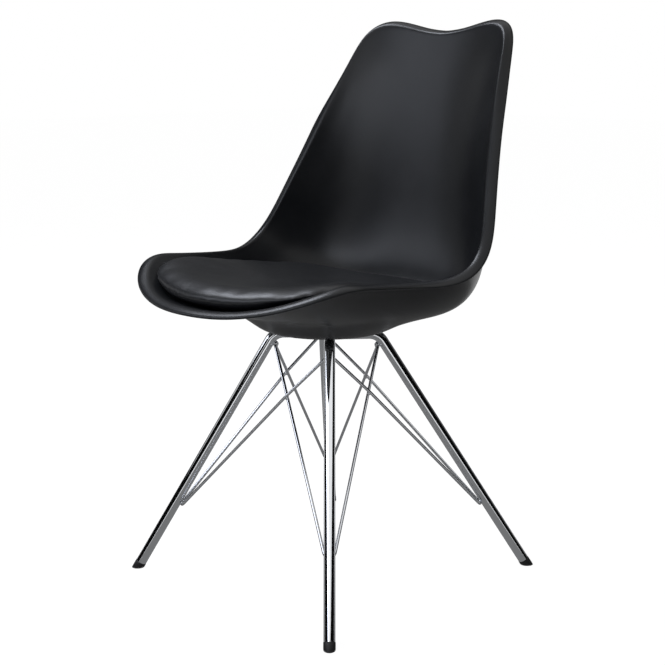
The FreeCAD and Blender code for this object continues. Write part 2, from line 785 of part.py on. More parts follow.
def last_run(owner, leg):
    """The straight run of a brace up to its end at the top of a neighbouring leg, with room for a bead."""
    start = brace_corner(owner) if owner in STRAIGHT_BRACES else crossing(leg, owner)[1]
    run = brace_end(leg, owner) - start
    room = size("bead_clearance")
    return Part.makeCylinder(size("wire_diameter") / 2.0 + room, run.Length + room, start, run)


def make_crossing_welds():
    """A bead round each place where two braces cross, hollowed for the two wires."""
    beads = []
    room = size("wire_diameter") / 2.0 + size("bead_clearance")
    for straight in STRAIGHT_BRACES:
        for stepped in neighbours(straight):
            inside, outside = crossing(straight, stepped)
            bead = Part.makeSphere(size("crossing_bead_radius"), (inside + outside) * 0.5)
            under = rod(brace_corner(straight), brace_end(stepped, straight), room)
            over_way = brace_end(straight, stepped) - brace_corner(stepped)
            over = rod(outside - over_way * 0.1, outside + over_way * 0.1, room)
            beads.append(bead.cut([under, over]))
    return formed("crossing_beads", Part.makeCompound(beads))


def make_brace_welds():
    """Beads that join each brace's tip to its leg, and one over the two wire ends at each leg's top."""
    beads = []
    radius = size("joint_bead_radius")
    tube = size("tube_diameter") / 2.0
    room = size("wire_diameter") / 2.0 + size("bead_clearance")
    for name in LEGS:
        point, up, inner, across = leg_axis(name, size("brace_tip_height"))
        leg = rod(point - up * radius, point + up * radius, tube + size("bead_clearance"))
        beads.append(Part.makeSphere(radius, point + inner * tube).cut([leg, tip_bend(name, room)]))
        point, up, inner, across = leg_axis(name, brace_end_height(name))
        leg = rod(point - up * radius, point + up * radius, tube + size("bead_clearance"))
        ends = [brace_end(name, owner) for owner in neighbours(name)]
        wires = [last_run(owner, name) for owner in neighbours(name)]
        bead = Part.makeSphere(radius, (ends[0] + ends[1]) * 0.5 + up * (0.7 * radius))
        beads.append(bead.cut([leg] + wires))
    return formed("brace_beads", Part.makeCompound(beads))


def make_run_welds():
    """A bead on each side of each tube's run, in the corner between the tube and the plate."""
    beads = []
    radius = size("run_bead_radius")
    tube = size("tube_diameter") / 2.0
    level = run_level()
    for name in LEGS:
        kind = LEGS[name][0]
        lean = math.radians(size(kind + "_lean"))
        bend_start = size(kind + "_corner") - size("bend_radius") * math.tan((math.pi / 2.0 - lean) / 2.0)
        start = size("run_start") + size("run_bead_inset")
        length = bend_start - size("run_bead_inset") - start
        placement = leg_placement(name)
        way = placement.Rotation.multVec(Vector(1, 0, 0))
        solid_run = Part.makeCylinder(tube, length, placement.multVec(Vector(start, 0, level)), way)
        for across in (-1.0, 1.0):
            corner = Vector(start, across * 0.8 * tube, level + 0.8 * tube)
            bead = Part.makeCylinder(radius, length, placement.multVec(corner), way)
            below = Part.makeBox(2.0 * length, 4.0 * tube, 2.0 * tube + size("weld_gap"))
            below.Placement = placement * Placement(Vector(0, -2.0 * tube, level - tube), Rotation())
            beads.append(bead.common(below).cut(solid_run))
    return formed("run_beads", Part.makeCompound(beads))


# Seat pad


def make_board():
    body = doc.addObject("PartDesign::Body", "board")
    outline = sketch_on(body, "board_outline", "XY_Plane")
    outline.setExpression("AttachmentOffset.Base.z", "sizes.floor_height")
    half = Vector(size("board_length") / 2.0, size("board_width") / 2.0, 0)
    corners = [Vector(x * half.x, y * half.y, 0) for x, y in ((-1, -1), (1, -1), (1, 1), (-1, 1))]
    for k in range(4):
        outline.addGeometry(Part.LineSegment(corners[k], corners[(k + 1) % 4]))
    for k in range(4):
        outline.addConstraint(Sketcher.Constraint("Coincident", k, 2, (k + 1) % 4, 1))
    for k in (0, 2):
        outline.addConstraint(Sketcher.Constraint("Horizontal", k))
        outline.addConstraint(Sketcher.Constraint("Vertical", k + 1))
    outline.addConstraint(Sketcher.Constraint("Symmetric", 0, 1, 1, 2, -1, 1))
    constrain(outline, "length", "sizes.board_length", "DistanceX", 0, 1, 0, 2, size("board_length"))
    constrain(outline, "width", "sizes.board_width", "DistanceY", 1, 1, 1, 2, size("board_width"))
    pad = body.newObject("PartDesign::Pad", "board_pad")
    pad.Profile = outline
    pad.setExpression("Length", "sizes.board_thickness")
    doc.recompute()
    upright = []
    for k, edge in enumerate(pad.Shape.Edges, 1):
        if abs(edge.tangentAt(edge.FirstParameter).z) > 0.9:
            upright.append("Edge%d" % k)
    corner = body.newObject("PartDesign::Fillet", "board_corners")
    corner.Base = (pad, upright)
    corner.setExpression("Radius", "sizes.board_corner_radius")
    doc.recompute()
    holes = []
    for k, (x, y) in enumerate(SCREW_PLACES, 1):
        name = "board_hole_%d" % k
        holes.append(cylinder(name, "sizes.pad_screw_radius", SCREW_GRIP, x, y, "sizes.floor_height"))
    return cut("board_drilled", body, fuse("board_holes", holes))


def make_pad_screws():
    screws = []
    for k, (x, y) in enumerate(SCREW_PLACES, 1):
        grip = "sizes.shell_wall + " + SCREW_GRIP
        shank = cylinder("screw_shank_%d" % k, "sizes.pad_screw_radius", grip, x, y, FLOOR_UNDERSIDE)
        head = doc.addObject("Part::Cone", "screw_head_%d" % k)
        head.setExpression("Radius1", "sizes.pad_screw_head_radius * 0.6")
        head.setExpression("Radius2", "sizes.pad_screw_head_radius")
        head.setExpression("Height", "sizes.pad_screw_head_height")
        head.setExpression("Placement.Base.x", x)
        head.setExpression("Placement.Base.y", y)
        head.setExpression("Placement.Base.z", FLOOR_UNDERSIDE + " - sizes.pad_screw_head_height")
        screws.append(fuse("screw_%d" % k, [head, shank]))
    return group("screws", screws)


def over_shell(x, y, distance):
    """The point at a distance off the shell's inner face, over a place of the seat."""
    low, high = 0.0, float(LAST)
    for _ in range(40):
        middle = (low + high) / 2.0
        if shell_point(x, middle).y < y:
            low = middle
        else:
            high = middle
    return shell_point(x, low) + shell_normal(x, low) * distance


PAD_POINT_COUNT = 16
RING_STEPS = (0.0, 0.12, 0.24, 0.36, 0.46, 0.55, 0.62, 0.68, 0.74, 0.80, 0.88, 1.0)


def pad_edge():
    """Points evenly spaced once round the pad's upper edge, starting at the middle of the front."""
    front, corner, side = size("pad_front_rise"), size("pad_corner_rise"), size("pad_side_rise")
    hip, back = size("pad_hip_rise"), size("pad_rear_rise")
    rises = {0: front, 4: front, 7: (front + corner) / 2.0, 10: corner, 13: side, 16: side, 19: side, 22: hip}
    right = []
    for index, rise in rises.items():
        along = shell_point(*CREST[index + 1]) - shell_point(*CREST[index - 1])
        inward = Vector(-along.y, along.x, 0.0).normalize()
        place = shell_point(*CREST[index]) + inward * size("pad_gap")
        right.append(Vector(place.x, place.y, over_shell(place.x, place.y, 0.0).z + rise))
    rear = size("heel_y") - size("pad_rear_gap")
    hip_place = right[-1]
    for across, along, share in ((0.97, 0.62, 0.35), (0.80, 0.93, 0.80), (0.42, 1.0, 1.0), (0.0, 1.0, 1.0)):
        x, y = hip_place.x * across, hip_place.y + (rear - hip_place.y) * along
        rear_height = size("floor_height") + back + size("board_thickness")
        right.append(Vector(x, y, hip_place.z + (rear_height - hip_place.z) * share))
    loop = right + [Vector(-place.x, place.y, place.z) for place in right[-2:0:-1]]
    curve = Part.BSplineCurve()
    curve.interpolate(Points=loop, PeriodicFlag=True)
    return curve.discretize(Number=PAD_POINT_COUNT + 1)[:PAD_POINT_COUNT]


def pad_rings(swell):
    """Rings from the pad's flat base up its drawn-in side, over the rolled edge and into the dished top.

    A curve from the base to the middle of the top starts from each point of the edge, and ring k joins the points
    that lie the same share along these curves.
    """
    edge = pad_edge()
    front, rear = edge[0].y, edge[PAD_POINT_COUNT // 2].y
    base_level = size("floor_height") + size("board_thickness")
    half_width = max(place.x for place in edge)
    base_half_width = size("board_length") / 2.0 + size("pad_base_margin") + swell
    base_half_length = size("board_width") / 2.0 + size("pad_base_margin") + swell
    off_shell = size("pad_clearance") + size("cover_gap") + size("cover_thickness") - swell
    middle_level = base_level + size("pad_middle_rise")
    centre = Vector(0.0, (front + rear) / 2.0, 0.0)
    roll = size("pad_roll")
    columns = []
    for place in edge:
        flat = Vector(place.x, place.y, 0.0)
        inward = (centre - flat).normalize()
        base_y = ((flat.y - front) / (rear - front) * 2.0 - 1.0) * base_half_length
        base = Vector(flat.x / half_width * base_half_width, base_y, base_level)
        low = flat + inward * (2.0 * size("pad_draw_in"))
        under = over_shell((base.x + low.x) / 2.0, (base.y + low.y) / 2.0, off_shell)
        low = over_shell(low.x, low.y, off_shell)
        side = flat + inward * (size("pad_draw_in") - swell)
        side.z = low.z + (place.z - low.z) * 0.4
        shoulder = flat + inward * (roll * 0.25 - swell * 0.8)
        shoulder.z = place.z - roll * 0.45 + swell * 0.6
        crest = flat + inward * roll
        crest.z = place.z + roll * 0.3 + swell
        dish = flat + (centre - flat) * 0.4
        dish.z = middle_level + (place.z - middle_level) * 0.35 + swell
        top = flat + (centre - flat) * 0.8
        top.z = middle_level + swell
        curve = Part.BSplineCurve()
        curve.buildFromPoles([base, under, low, side, shoulder, crest, dish, top], False, 3)
        columns.append([curve.value(share) for share in RING_STEPS])
    return list(zip(*columns))


def tangent_arc(start, corner, end):
    """The arc from start to end whose tangents meet at the corner."""
    middle = (start + end) * 0.5
    rise = corner - middle
    angle = math.atan2(rise.Length, (end - start).Length / 2.0)
    if angle < 0.0005:
        return Part.LineSegment(start, end).toShape()
    return Part.Arc(start, middle + rise * (math.tan(angle / 2.0) / math.tan(angle)), end).toShape()


def smooth_loop(points):
    """A closed wire of arcs, two from each point to the next, with one tangent wherever they meet."""
    count = len(points)
    ways = [(points[(k + 1) % count] - points[k - 1]).normalize() for k in range(count)]
    edges = []
    for k in range(count):
        start, end = points[k], points[(k + 1) % count]
        way, end_way = ways[k], ways[(k + 1) % count]
        chord, both = end - start, way + end_way
        spread = 2.0 * (1.0 - way.dot(end_way))
        if spread > 0.000001:
            root = math.sqrt(chord.dot(both) ** 2 + spread * chord.dot(chord))
            reach = (root - chord.dot(both)) / spread
        else:
            reach = chord.dot(chord) / (2.0 * chord.dot(both))
        first, second = start + way * reach, end - end_way * reach
        joint = (first + second) * 0.5
        edges.append(tangent_arc(start, first, joint))
        edges.append(tangent_arc(joint, second, end))
    return Part.Wire(edges)


def pad_loops(swell):
    return [smooth_loop(ring) for ring in pad_rings(swell)]


def make_foam():
    return formed("foam", Part.makeLoft(pad_loops(0.0), True, True))


def make_cover():
    """The skin over the foam's top and sides, open where the pad rests on its board."""
    inner_loops = pad_loops(size("cover_gap"))
    outer_loops = pad_loops(size("cover_gap") + size("cover_thickness"))
    faces = [Part.makeFace([outer_loops[0], inner_loops[0]], "Part::FaceMakerBullseye")]
    for loops in (outer_loops, inner_loops):
        faces += Part.makeLoft(loops, False, True).Faces
        faces.append(Part.Face(loops[-1]))
    skin = Part.Shell(faces)
    skin.sewShape()
    solid = Part.Solid(skin)
    if solid.Volume < 0.0:
        solid.reverse()
    return formed("cover", solid)


node("seat_shell", make_shell())
node("shell_inserts", make_inserts())
node("mount_buffers", make_buffers())
node("frame_washers", make_washers())
node("frame_bolts", make_bolts())
node("mount_plate", make_plate())
node("pad_board", make_board())
node("pad_screws", make_pad_screws())
node("pad_foam", make_foam())
node("pad_cover", make_cover())
for leg_name in LEGS:
    node("leg_" + leg_name, make_leg(leg_name))
    node("foot_glide_" + leg_name, make_glide(leg_name))
doc.recompute()
for leg_name in LEGS:
    node("brace_" + leg_name, make_brace(leg_name))
node("crossing_welds", make_crossing_welds())
node("brace_welds", make_brace_welds())
node("run_welds", make_run_welds())
doc.recompute()

# Every piece is sound before it is written
for piece in doc.Objects:
    if "Invalid" in piece.State or "Error" in piece.State:
        raise RuntimeError("%s is in state %s" % (piece.Label, piece.State))
os.makedirs("parts", exist_ok=True)
for label, piece in NODES.items():
    if piece.Shape.isNull() or not piece.Shape.isValid():
        raise RuntimeError("%s has no sound shape" % label)
    piece.Shape.exportStep("parts/%s.step" % label)
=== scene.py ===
# %% [markdown]
# # A padded shell chair on a chromed, wire-braced frame
#
# The chair has three things to look at: a black moulded shell, a seat pad in black artificial leather,
# and a frame of bright chromed tubes and wires. The measured solids are loaded first and stay where they
# are. Every piece that is made here lies in the same place as its solid, in metres, with +Z up and the
# sitter looking along -Y.

import bmesh
import bpy
import math
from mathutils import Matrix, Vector
from mathutils.bvhtree import BVHTree


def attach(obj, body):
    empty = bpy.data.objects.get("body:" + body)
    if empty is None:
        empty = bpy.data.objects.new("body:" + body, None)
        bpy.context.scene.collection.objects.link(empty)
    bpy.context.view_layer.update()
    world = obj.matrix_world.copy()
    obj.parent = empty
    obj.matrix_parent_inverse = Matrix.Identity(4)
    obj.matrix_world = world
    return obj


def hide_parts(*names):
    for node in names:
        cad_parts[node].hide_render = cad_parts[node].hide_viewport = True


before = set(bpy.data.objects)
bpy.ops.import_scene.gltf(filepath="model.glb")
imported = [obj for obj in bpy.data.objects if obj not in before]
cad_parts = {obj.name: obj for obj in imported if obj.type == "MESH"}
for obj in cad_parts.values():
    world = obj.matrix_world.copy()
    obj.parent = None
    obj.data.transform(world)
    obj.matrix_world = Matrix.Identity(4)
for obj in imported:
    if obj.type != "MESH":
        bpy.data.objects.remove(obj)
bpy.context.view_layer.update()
MM = 0.001

# %% [markdown]
# ## The camera
#
# A camera can be placed by eye or worked out from the picture. Here it was worked out: the four feet, the
# rim and the tips of the braces only line up from one place. A long lens of 72 mm keeps the legs nearly
# parallel, as they are in the picture.

# %% Place the camera
EYE = Vector((1.3601, -1.3648, 0.7791))
LOOK_AT = Vector((0.00172, 0.01272, 0.3679))
camera_data = bpy.data.cameras.new("camera")
camera_data.lens = 71.96
camera_data.sensor_width = 36.0
camera = bpy.data.objects.new("camera", camera_data)
camera.location = EYE
camera.rotation_euler = (LOOK_AT - EYE).to_track_quat("-Z", "Y").to_euler()
bpy.context.scene.collection.objects.link(camera)
bpy.context.scene.camera = camera
print("the eye is", round((LOOK_AT - EYE).length, 3), "m away")

# %% [markdown]
# ## Helpers for colours and nodes
#
# Colours are written as they look on a screen, as hex values, and one function turns them to the linear
# values that the shaders use. One more function adds a node to any tree, with its settings, its values
# and its links.


# %% Colour and node helpers
def colour(hex_value):
    channels = [int(hex_value[k:k + 2], 16) / 255.0 for k in (1, 3, 5)]
    linear = [c / 12.92 if c <= 0.04045 else ((c + 0.055) / 1.055) ** 2.4 for c in channels]
    return (*linear, 1.0)


def add(tree, kind, inputs=None, **settings):
    node = tree.nodes.new(kind)
    for name, value in settings.items():
        setattr(node, name, value)
    for socket, value in (inputs or {}).items():
        if isinstance(value, bpy.types.NodeSocket):
            tree.links.new(value, node.inputs[socket])
        else:
            node.inputs[socket].default_value = value
    return node


def blank_material(name):
    material = bpy.data.materials.new(name)
    material.use_nodes = True
    material.node_tree.nodes.clear()
    return material, material.node_tree


print("black reads as", [round(c, 4) for c in colour("#1b1c1e")])

# %% [markdown]
# ## Moulded polypropylene
#
# The shell is injection-moulded polypropylene. The mould's steel was spark-eroded, which leaves a fine
# grain of about half a millimetre, so highlights are soft. The grain is drawn about twice as coarse as
# the real one, because half a millimetre is less than a pixel here. A slow mottle in the gloss keeps the
# large surface from looking painted.

# %% Material of the shell
polypropylene, tree = blank_material("moulded_polypropylene")
place = add(tree, "ShaderNodeTexCoord").outputs["Object"]
GRAIN = 1.1 * MM
grain = add(tree, "ShaderNodeTexNoise", {
    "Vector": place, "Scale": 1.0 / GRAIN, "Detail": 2.0, "Roughness": 0.55,
})
mottle = add(tree, "ShaderNodeTexNoise", {"Vector": place, "Scale": 1.0 / (45 * MM), "Detail": 3.0})
tone = add(tree, "ShaderNodeValToRGB", {"Fac": mottle.outputs["Fac"]})
tone.color_ramp.elements[0].position = 0.35
tone.color_ramp.elements[0].color = colour("#141517")
tone.color_ramp.elements[1].position = 0.7
tone.color_ramp.elements[1].color = colour("#18191b")
gloss = add(tree, "ShaderNodeMapRange", {"Value": mottle.outputs["Fac"], "To Min": 0.29, "To Max": 0.37})
relief = add(tree, "ShaderNodeBump", {"Height": grain.outputs["Fac"], "Strength": 0.10, "Distance": 0.2 * MM})
plastic = add(tree, "ShaderNodeBsdfPrincipled", {
    "Base Color": tone.outputs["Color"],
    "Roughness": gloss.outputs["Result"],
    "IOR": 1.49,
    "Specular IOR Level": 0.25,
    "Normal": relief.outputs["Normal"],
})
add(tree, "ShaderNodeOutputMaterial", {"Surface": plastic.outputs["BSDF"]})
print("grain of", round(GRAIN / MM, 2), "mm on", polypropylene.name)

# %% [markdown]
# ## Artificial leather
#
# The pad's cover is a knitted cloth coated with soft PVC and embossed with a leather grain. The grain is
# a net of small rounded cells with creases between them, so a cell pattern gives the relief, and a finer
# noise breaks up the gloss. The cell pattern also darkens the colour in the creases, as painted shade.

# %% Material of the pad
leather, tree = blank_material("embossed_pvc_leather")
place = add(tree, "ShaderNodeTexCoord").outputs["Object"]
CELL = 1.9 * MM
warp = add(tree, "ShaderNodeTexNoise", {"Vector": place, "Scale": 1.0 / (4 * MM), "Detail": 1.0})
bent = add(tree, "ShaderNodeVectorMath", {0: warp.outputs["Color"], "Scale": 0.7 * MM}, operation="SCALE")
shifted = add(tree, "ShaderNodeVectorMath", {0: place, 1: bent.outputs["Vector"]}, operation="ADD")
cells = add(tree, "ShaderNodeTexVoronoi", {
    "Vector": shifted.outputs["Vector"], "Scale": 1.0 / CELL,
}, feature="DISTANCE_TO_EDGE")
rounded = add(tree, "ShaderNodeMapRange", {"Value": cells.outputs["Distance"], "From Max": 0.25})
rounded.interpolation_type = "SMOOTHSTEP"
patches = add(tree, "ShaderNodeTexNoise", {"Vector": place, "Scale": 1.0 / (30 * MM), "Detail": 4.0})
# The colour is darker in the creases between the cells than on them: painted shade in the creases.
tone = add(tree, "ShaderNodeMix", {
    "Factor": rounded.outputs["Result"], 6: colour("#101113"), 7: colour("#1a1b1e"),
}, data_type="RGBA")
gloss = add(tree, "ShaderNodeMapRange", {"Value": patches.outputs["Fac"], "To Min": 0.33, "To Max": 0.42})
relief = add(tree, "ShaderNodeBump", {
    "Height": rounded.outputs["Result"], "Strength": 0.16, "Distance": 0.15 * MM,
})
coat = add(tree, "ShaderNodeBsdfPrincipled", {
    "Base Color": tone.outputs[2],
    "Roughness": gloss.outputs["Result"],
    "IOR": 1.53,
    "Specular IOR Level": 0.3,
    "Normal": relief.outputs["Normal"],
})
add(tree, "ShaderNodeOutputMaterial", {"Surface": coat.outputs["BSDF"]})
print("leather cells of", round(CELL / MM, 2), "mm on", leather.name)

# %% [markdown]
# ## Chrome plate
#
# The frame is steel tube and wire with a polished chrome plate. Chrome is a mirror: it has almost no look
# of its own and shows the room. Its plate is a little wavy from polishing, which a slow, very faint
# relief along the metal gives.


# %% Materials of the frame
def chrome_plate(name, hex_value, roughness):
    material, tree = blank_material(name)
    place = add(tree, "ShaderNodeTexCoord").outputs["Object"]
    polish = add(tree, "ShaderNodeTexNoise", {"Vector": place, "Scale": 1.0 / (12 * MM), "Detail": 2.0})
    haze = add(tree, "ShaderNodeMapRange", {
        "Value": polish.outputs["Fac"], "To Min": roughness * 0.7, "To Max": roughness * 1.3,
    })
    waves = add(tree, "ShaderNodeBump", {
        "Height": polish.outputs["Fac"], "Strength": 0.02, "Distance": 0.2 * MM,
    })
    metal = add(tree, "ShaderNodeBsdfPrincipled", {
        "Base Color": colour(hex_value),
        "Metallic": 1.0,
        "Roughness": haze.outputs["Result"],
        "Normal": waves.outputs["Normal"],
    })
    add(tree, "ShaderNodeOutputMaterial", {"Surface": metal.outputs["BSDF"]})
    return material


tube_chrome = chrome_plate("chromed_tube", "#e4e6e9", 0.07)
wire_chrome = chrome_plate("chromed_wire", "#d4d6da", 0.12)
weld_chrome = chrome_plate("chromed_weld", "#dcdee1", 0.2)
print("chrome for", tube_chrome.name, wire_chrome.name, weld_chrome.name)

# %% [markdown]
# ## The shell
#
# The shell is one skin that is folded over at its rim: an inner face, a lip that flares out all round,
# and an outer face a wall's thickness behind. It could be sculpted, but it follows a rule, so it is
# worked out instead. Stations along the middle line say where the middle and the rim lie, and a power
# curve fills the section between them.

# %% The shell's stations
STATIONS = (
    (-255.6, 442.0, 192.0, -255.6, 499.0, 2.4),
    (-165.0, 421.0, 191.0, -165.0, 485.0, 2.8),
    (-85.0, 402.0, 190.0, -90.0, 478.0, 3.8),
    (0.0, 392.0, 196.0, -25.0, 473.0, 4.2),
    (85.0, 393.0, 217.0, 40.0, 470.0, 4.6),
    (168.0, 399.0, 218.0, 88.0, 500.0, 5.0),
    (205.0, 490.0, 201.0, 113.0, 560.0, 3.4),
    (221.0, 597.0, 180.0, 146.0, 632.0, 2.5),
    (239.0, 703.0, 161.0, 183.0, 718.0, 2.3),
    (254.4, 803.0, 143.0, 230.5, 804.0, 2.2),
)
LAST = len(STATIONS) - 1
FLOOR_LEVEL = 392.0
FOOT_RADIUS, RECESS_RADIUS, FOOT_DEPTH = 80.0, 74.0, 11.0
FLAT_RADIUS = math.hypot(160.0, 100.0) / 2.0 + 2.0
FLAT_BLEND = 44.0
WALL = 4.0


def ramp(start, end, value):
    share = min(1.0, max(0.0, (value - start) / (end - start)))
    return share * share * (3.0 - 2.0 * share)


def station(place):
    index = min(LAST - 1, max(0, math.floor(place)))
    rows = []
    for k in range(index - 1, index + 3):
        if k < 0:
            rows.append([2.0 * a - b for a, b in zip(STATIONS[0], STATIONS[1])])
        elif k > LAST:
            rows.append([2.0 * a - b for a, b in zip(STATIONS[LAST], STATIONS[LAST - 1])])
        else:
            rows.append(STATIONS[k])
    s = place - index
    weights = ((1 - s) ** 3, 3 * s ** 3 - 6 * s ** 2 + 4, -3 * s ** 3 + 3 * s ** 2 + 3 * s + 1, s ** 3)
    return [sum(w * row[c] for w, row in zip(weights, rows)) / 6.0 for c in range(6)]


def shell_point(x, place):
    y, z, half_width, rim_y, rim_z, fullness = station(place)
    share = abs(x / half_width) ** fullness
    point = Vector((x, y + (rim_y - y) * share, z + (rim_z - z) * share))
    flat = 1.0 - ramp(FLAT_RADIUS, FLAT_RADIUS + FLAT_BLEND, math.hypot(point.x, point.y))
    point.z += (FLOOR_LEVEL - point.z) * flat
    return point


def shell_normal(x, place):
    along_x = shell_point(x + 1.0, place) - shell_point(x - 1.0, place)
    along_place = shell_point(x, place + 0.01) - shell_point(x, place - 0.01)
    return along_x.cross(along_place).normalized()


def station_at(y):
    low, high = 0.0, float(LAST)
    for _ in range(40):
        middle = (low + high) / 2.0
        low, high = (middle, high) if station(middle)[0] < y else (low, middle)
    return low


print("the middle line runs from", station(0)[:2], "to", station(LAST)[:2], "mm")

# %% [markdown]
# The lip's inner edge, the crest, is a closed line round the shell. It is a rounded corner at the front,
# a plain run up each side, and a nearly square corner at the top, where the two raised ears are. The
# points are spaced evenly along it, so that the faces of the skin stay square.


# %% The crest of the lip
def crest_line(half_count):
    front_end = station_at(STATIONS[0][0] + 108.0)
    per_station = STATIONS[LAST][1] - STATIONS[LAST - 1][1]
    top_start = LAST - 62.0 / per_station
    front_power, top_power, ear_lift, ear_place = 2.0 / 1.85, 2.0 / 6.0, 20.0, 0.92
    steps = 240
    line = []
    for k in range(steps):
        turn = k / steps * math.pi / 2.0
        place = front_end * (1.0 - math.cos(turn) ** front_power)
        line.append((station(place)[2] * math.sin(turn) ** front_power, place))
    for k in range(steps):
        place = front_end + (top_start - front_end) * k / steps
        line.append((station(place)[2], place))
    for k in range(steps + 1):
        turn = k / steps * math.pi / 2.0
        across = max(0.0, math.cos(turn)) ** top_power
        lift = ear_lift / per_station * ramp(0.0, ear_place, across)
        place = top_start + (LAST - top_start + lift) * math.sin(turn) ** top_power
        line.append((station(min(place, LAST))[2] * across, place))
    lengths = [0.0]
    for (x0, p0), (x1, p1) in zip(line, line[1:]):
        lengths.append(lengths[-1] + (shell_point(x1, p1) - shell_point(x0, p0)).length)
    half = []
    index = 0
    for k in range(half_count + 1):
        wanted = lengths[-1] * k / half_count
        while index < len(line) - 2 and lengths[index + 1] < wanted:
            index += 1
        share = (wanted - lengths[index]) / (lengths[index + 1] - lengths[index])
        half.append(tuple(a + (b - a) * share for a, b in zip(line[index], line[index + 1])))
    return half + [(-x, place) for x, place in half[-2:0:-1]]


CREST = crest_line(56)
print(len(CREST), "points round the crest")

# %% [markdown]
# The skin is a net of rows: from a round disc on the seat's floor out to the crest, round the lip, and
# back over the outer face to the moulded foot under the seat. The net is coarse, and a subdivision
# surface rounds it, which makes the same smooth surface that a spline with these control points has.


# %% The shell's net
LIP_WIDTH, LIP_CROWN, LIP_DROOP, LIP_ROLL = 18.0, 2.2, 18.0, 72.0
STATION_STEP = 85.0


def inner_ring(share, hub_radius):
    hub = station_at(0.0)
    ring = []
    for x, place in CREST:
        bearing = math.atan2(x, (hub - place) * STATION_STEP)
        hub_x = hub_radius * math.sin(bearing)
        hub_place = station_at(-hub_radius * math.cos(bearing))
        ring.append((x + (hub_x - x) * share, place + (hub_place - place) * share))
    return ring


def lip_frames():
    points = [shell_point(x, place) for x, place in CREST]
    frames = []
    for k, (x, place) in enumerate(CREST):
        along = (points[(k + 1) % len(CREST)] - points[k - 1]).normalized()
        normal = shell_normal(x, place)
        outward = along.cross(normal).normalized()
        y, z, _, rim_y, rim_z, _ = station(place)
        rise = Vector((0.0, rim_y - y, rim_z - z)).normalized()
        forth = Vector((0.0, rise.z, -rise.y))
        side = (Vector((1.0, 0.0, 0.0)) * along.dot(forth) - forth * along.x).normalized()
        droop = math.radians(LIP_DROOP + (LIP_ROLL - LIP_DROOP) * ramp(LAST - 1.8, LAST, place))
        lip_way = side * math.cos(droop) - rise * math.sin(droop)
        lip_normal = side * math.sin(droop) + rise * math.cos(droop)
        frames.append((points[k], outward, normal, lip_way, lip_normal))
    return frames


SHARES = (1.0, 0.97, 0.93, 0.88, 0.82, 0.75, 0.67, 0.58, 0.49, 0.40, 0.31, 0.22, 0.15, 0.10)
lip = lip_frames()


def lip_row(reach, depth):
    share = reach / LIP_WIDTH
    lift = LIP_CROWN * 4.0 * share * (1.0 - share) - depth
    return [p + e * reach + f * lift for p, m, n, e, f in lip]


rows = []
for share in SHARES:
    rows.append([shell_point(x, place) for x, place in inner_ring(share, 0.75 * FOOT_RADIUS)])
rows += [[p - m * back for p, m, n, e, f in lip] for back in (8.0, 3.0)]
rows += [lip_row(reach, 0.0) for reach in (0.5, 4.0, 9.0, 14.0, 17.0)]
rows.append(lip_row(LIP_WIDTH, WALL / 2))
rows += [lip_row(reach, WALL) for reach in (17.0, 14.0, 11.0)]
for back in (0.0, 5.0, 10.0):
    rows.append([p - n * WALL + m * (-WALL * (1.0 - n.dot(f)) / m.dot(f) - back) for p, m, n, e, f in lip])
for share in reversed(SHARES):
    row = []
    for x, place in inner_ring(share, FOOT_RADIUS):
        point = shell_point(x, place) - shell_normal(x, place) * WALL
        fade = ramp(FOOT_RADIUS + 4.0, FOOT_RADIUS + 40.0, math.hypot(point.x, point.y))
        row.append(point - Vector((0.0, 0.0, FOOT_DEPTH * (1.0 - fade))))
    rows.append(row)
ROOF_LEVEL = FLOOR_LEVEL - WALL
FOOT_STEPS = (
    (75.5, -FOOT_DEPTH), (74.2, -FOOT_DEPTH), (RECESS_RADIUS, 0.4 - FOOT_DEPTH),
    (RECESS_RADIUS, -1.0), (RECESS_RADIUS, 0.0), (73.0, 0.0), (60.0, 0.0),
)
for radius, level in FOOT_STEPS:
    row = []
    for point in rows[-1]:
        scale = radius / math.hypot(point.x, point.y)
        row.append(Vector((point.x * scale, point.y * scale, ROOF_LEVEL + level)))
    rows.append(row)
print(len(rows), "rows of", len(rows[0]), "points")

# %% [markdown]
# Each row is joined to the next by squares, and the two open ends, on the seat's floor and under it, are
# closed. The result becomes a plain mesh, without live modifiers.


# %% Build the shell
def plain_mesh(worker):
    depsgraph = bpy.context.evaluated_depsgraph_get()
    mesh = bpy.data.meshes.new_from_object(worker.evaluated_get(depsgraph))
    bpy.data.objects.remove(worker)
    return mesh


def worker_object(name, vertices, edges, faces):
    mesh = bpy.data.meshes.new(name)
    mesh.from_pydata([Vector(v) * MM for v in vertices], edges, faces)
    worker = bpy.data.objects.new(name, mesh)
    bpy.context.scene.collection.objects.link(worker)
    return worker


def turn_faces_outward(mesh):
    bm = bmesh.new()
    bm.from_mesh(mesh)
    bmesh.ops.recalc_face_normals(bm, faces=bm.faces)
    bm.to_mesh(mesh)
    bm.free()


def finish_piece(name, mesh, material, slot, *nodes):
    mesh.name = name
    mesh.materials.clear()
    mesh.materials.append(material)
    piece = bpy.data.objects.new(name, mesh)
    bpy.context.scene.collection.objects.link(piece)
    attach(piece, "root")
    if nodes:
        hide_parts(*nodes)
    print(name, "has", len(mesh.polygons), "faces")
    return piece


count = len(CREST)
vertices = [point for row in rows for point in row]
faces = []
for v in range(len(rows) - 1):
    for u in range(count):
        a, b = v * count + u, v * count + (u + 1) % count
        faces.append((a, b, b + count, a + count))
faces.append(tuple(range(count))[::-1])
faces.append(tuple((len(rows) - 1) * count + u for u in range(count)))
worker = worker_object("shell_net", vertices, [], faces)
rounding = worker.modifiers.new("rounding", "SUBSURF")
rounding.levels = rounding.render_levels = 2
shell_mesh = plain_mesh(worker)
turn_faces_outward(shell_mesh)
shell_mesh.shade_smooth()
shell = finish_piece("moulded_shell", shell_mesh, polypropylene, "shell_plastic", "seat_shell")
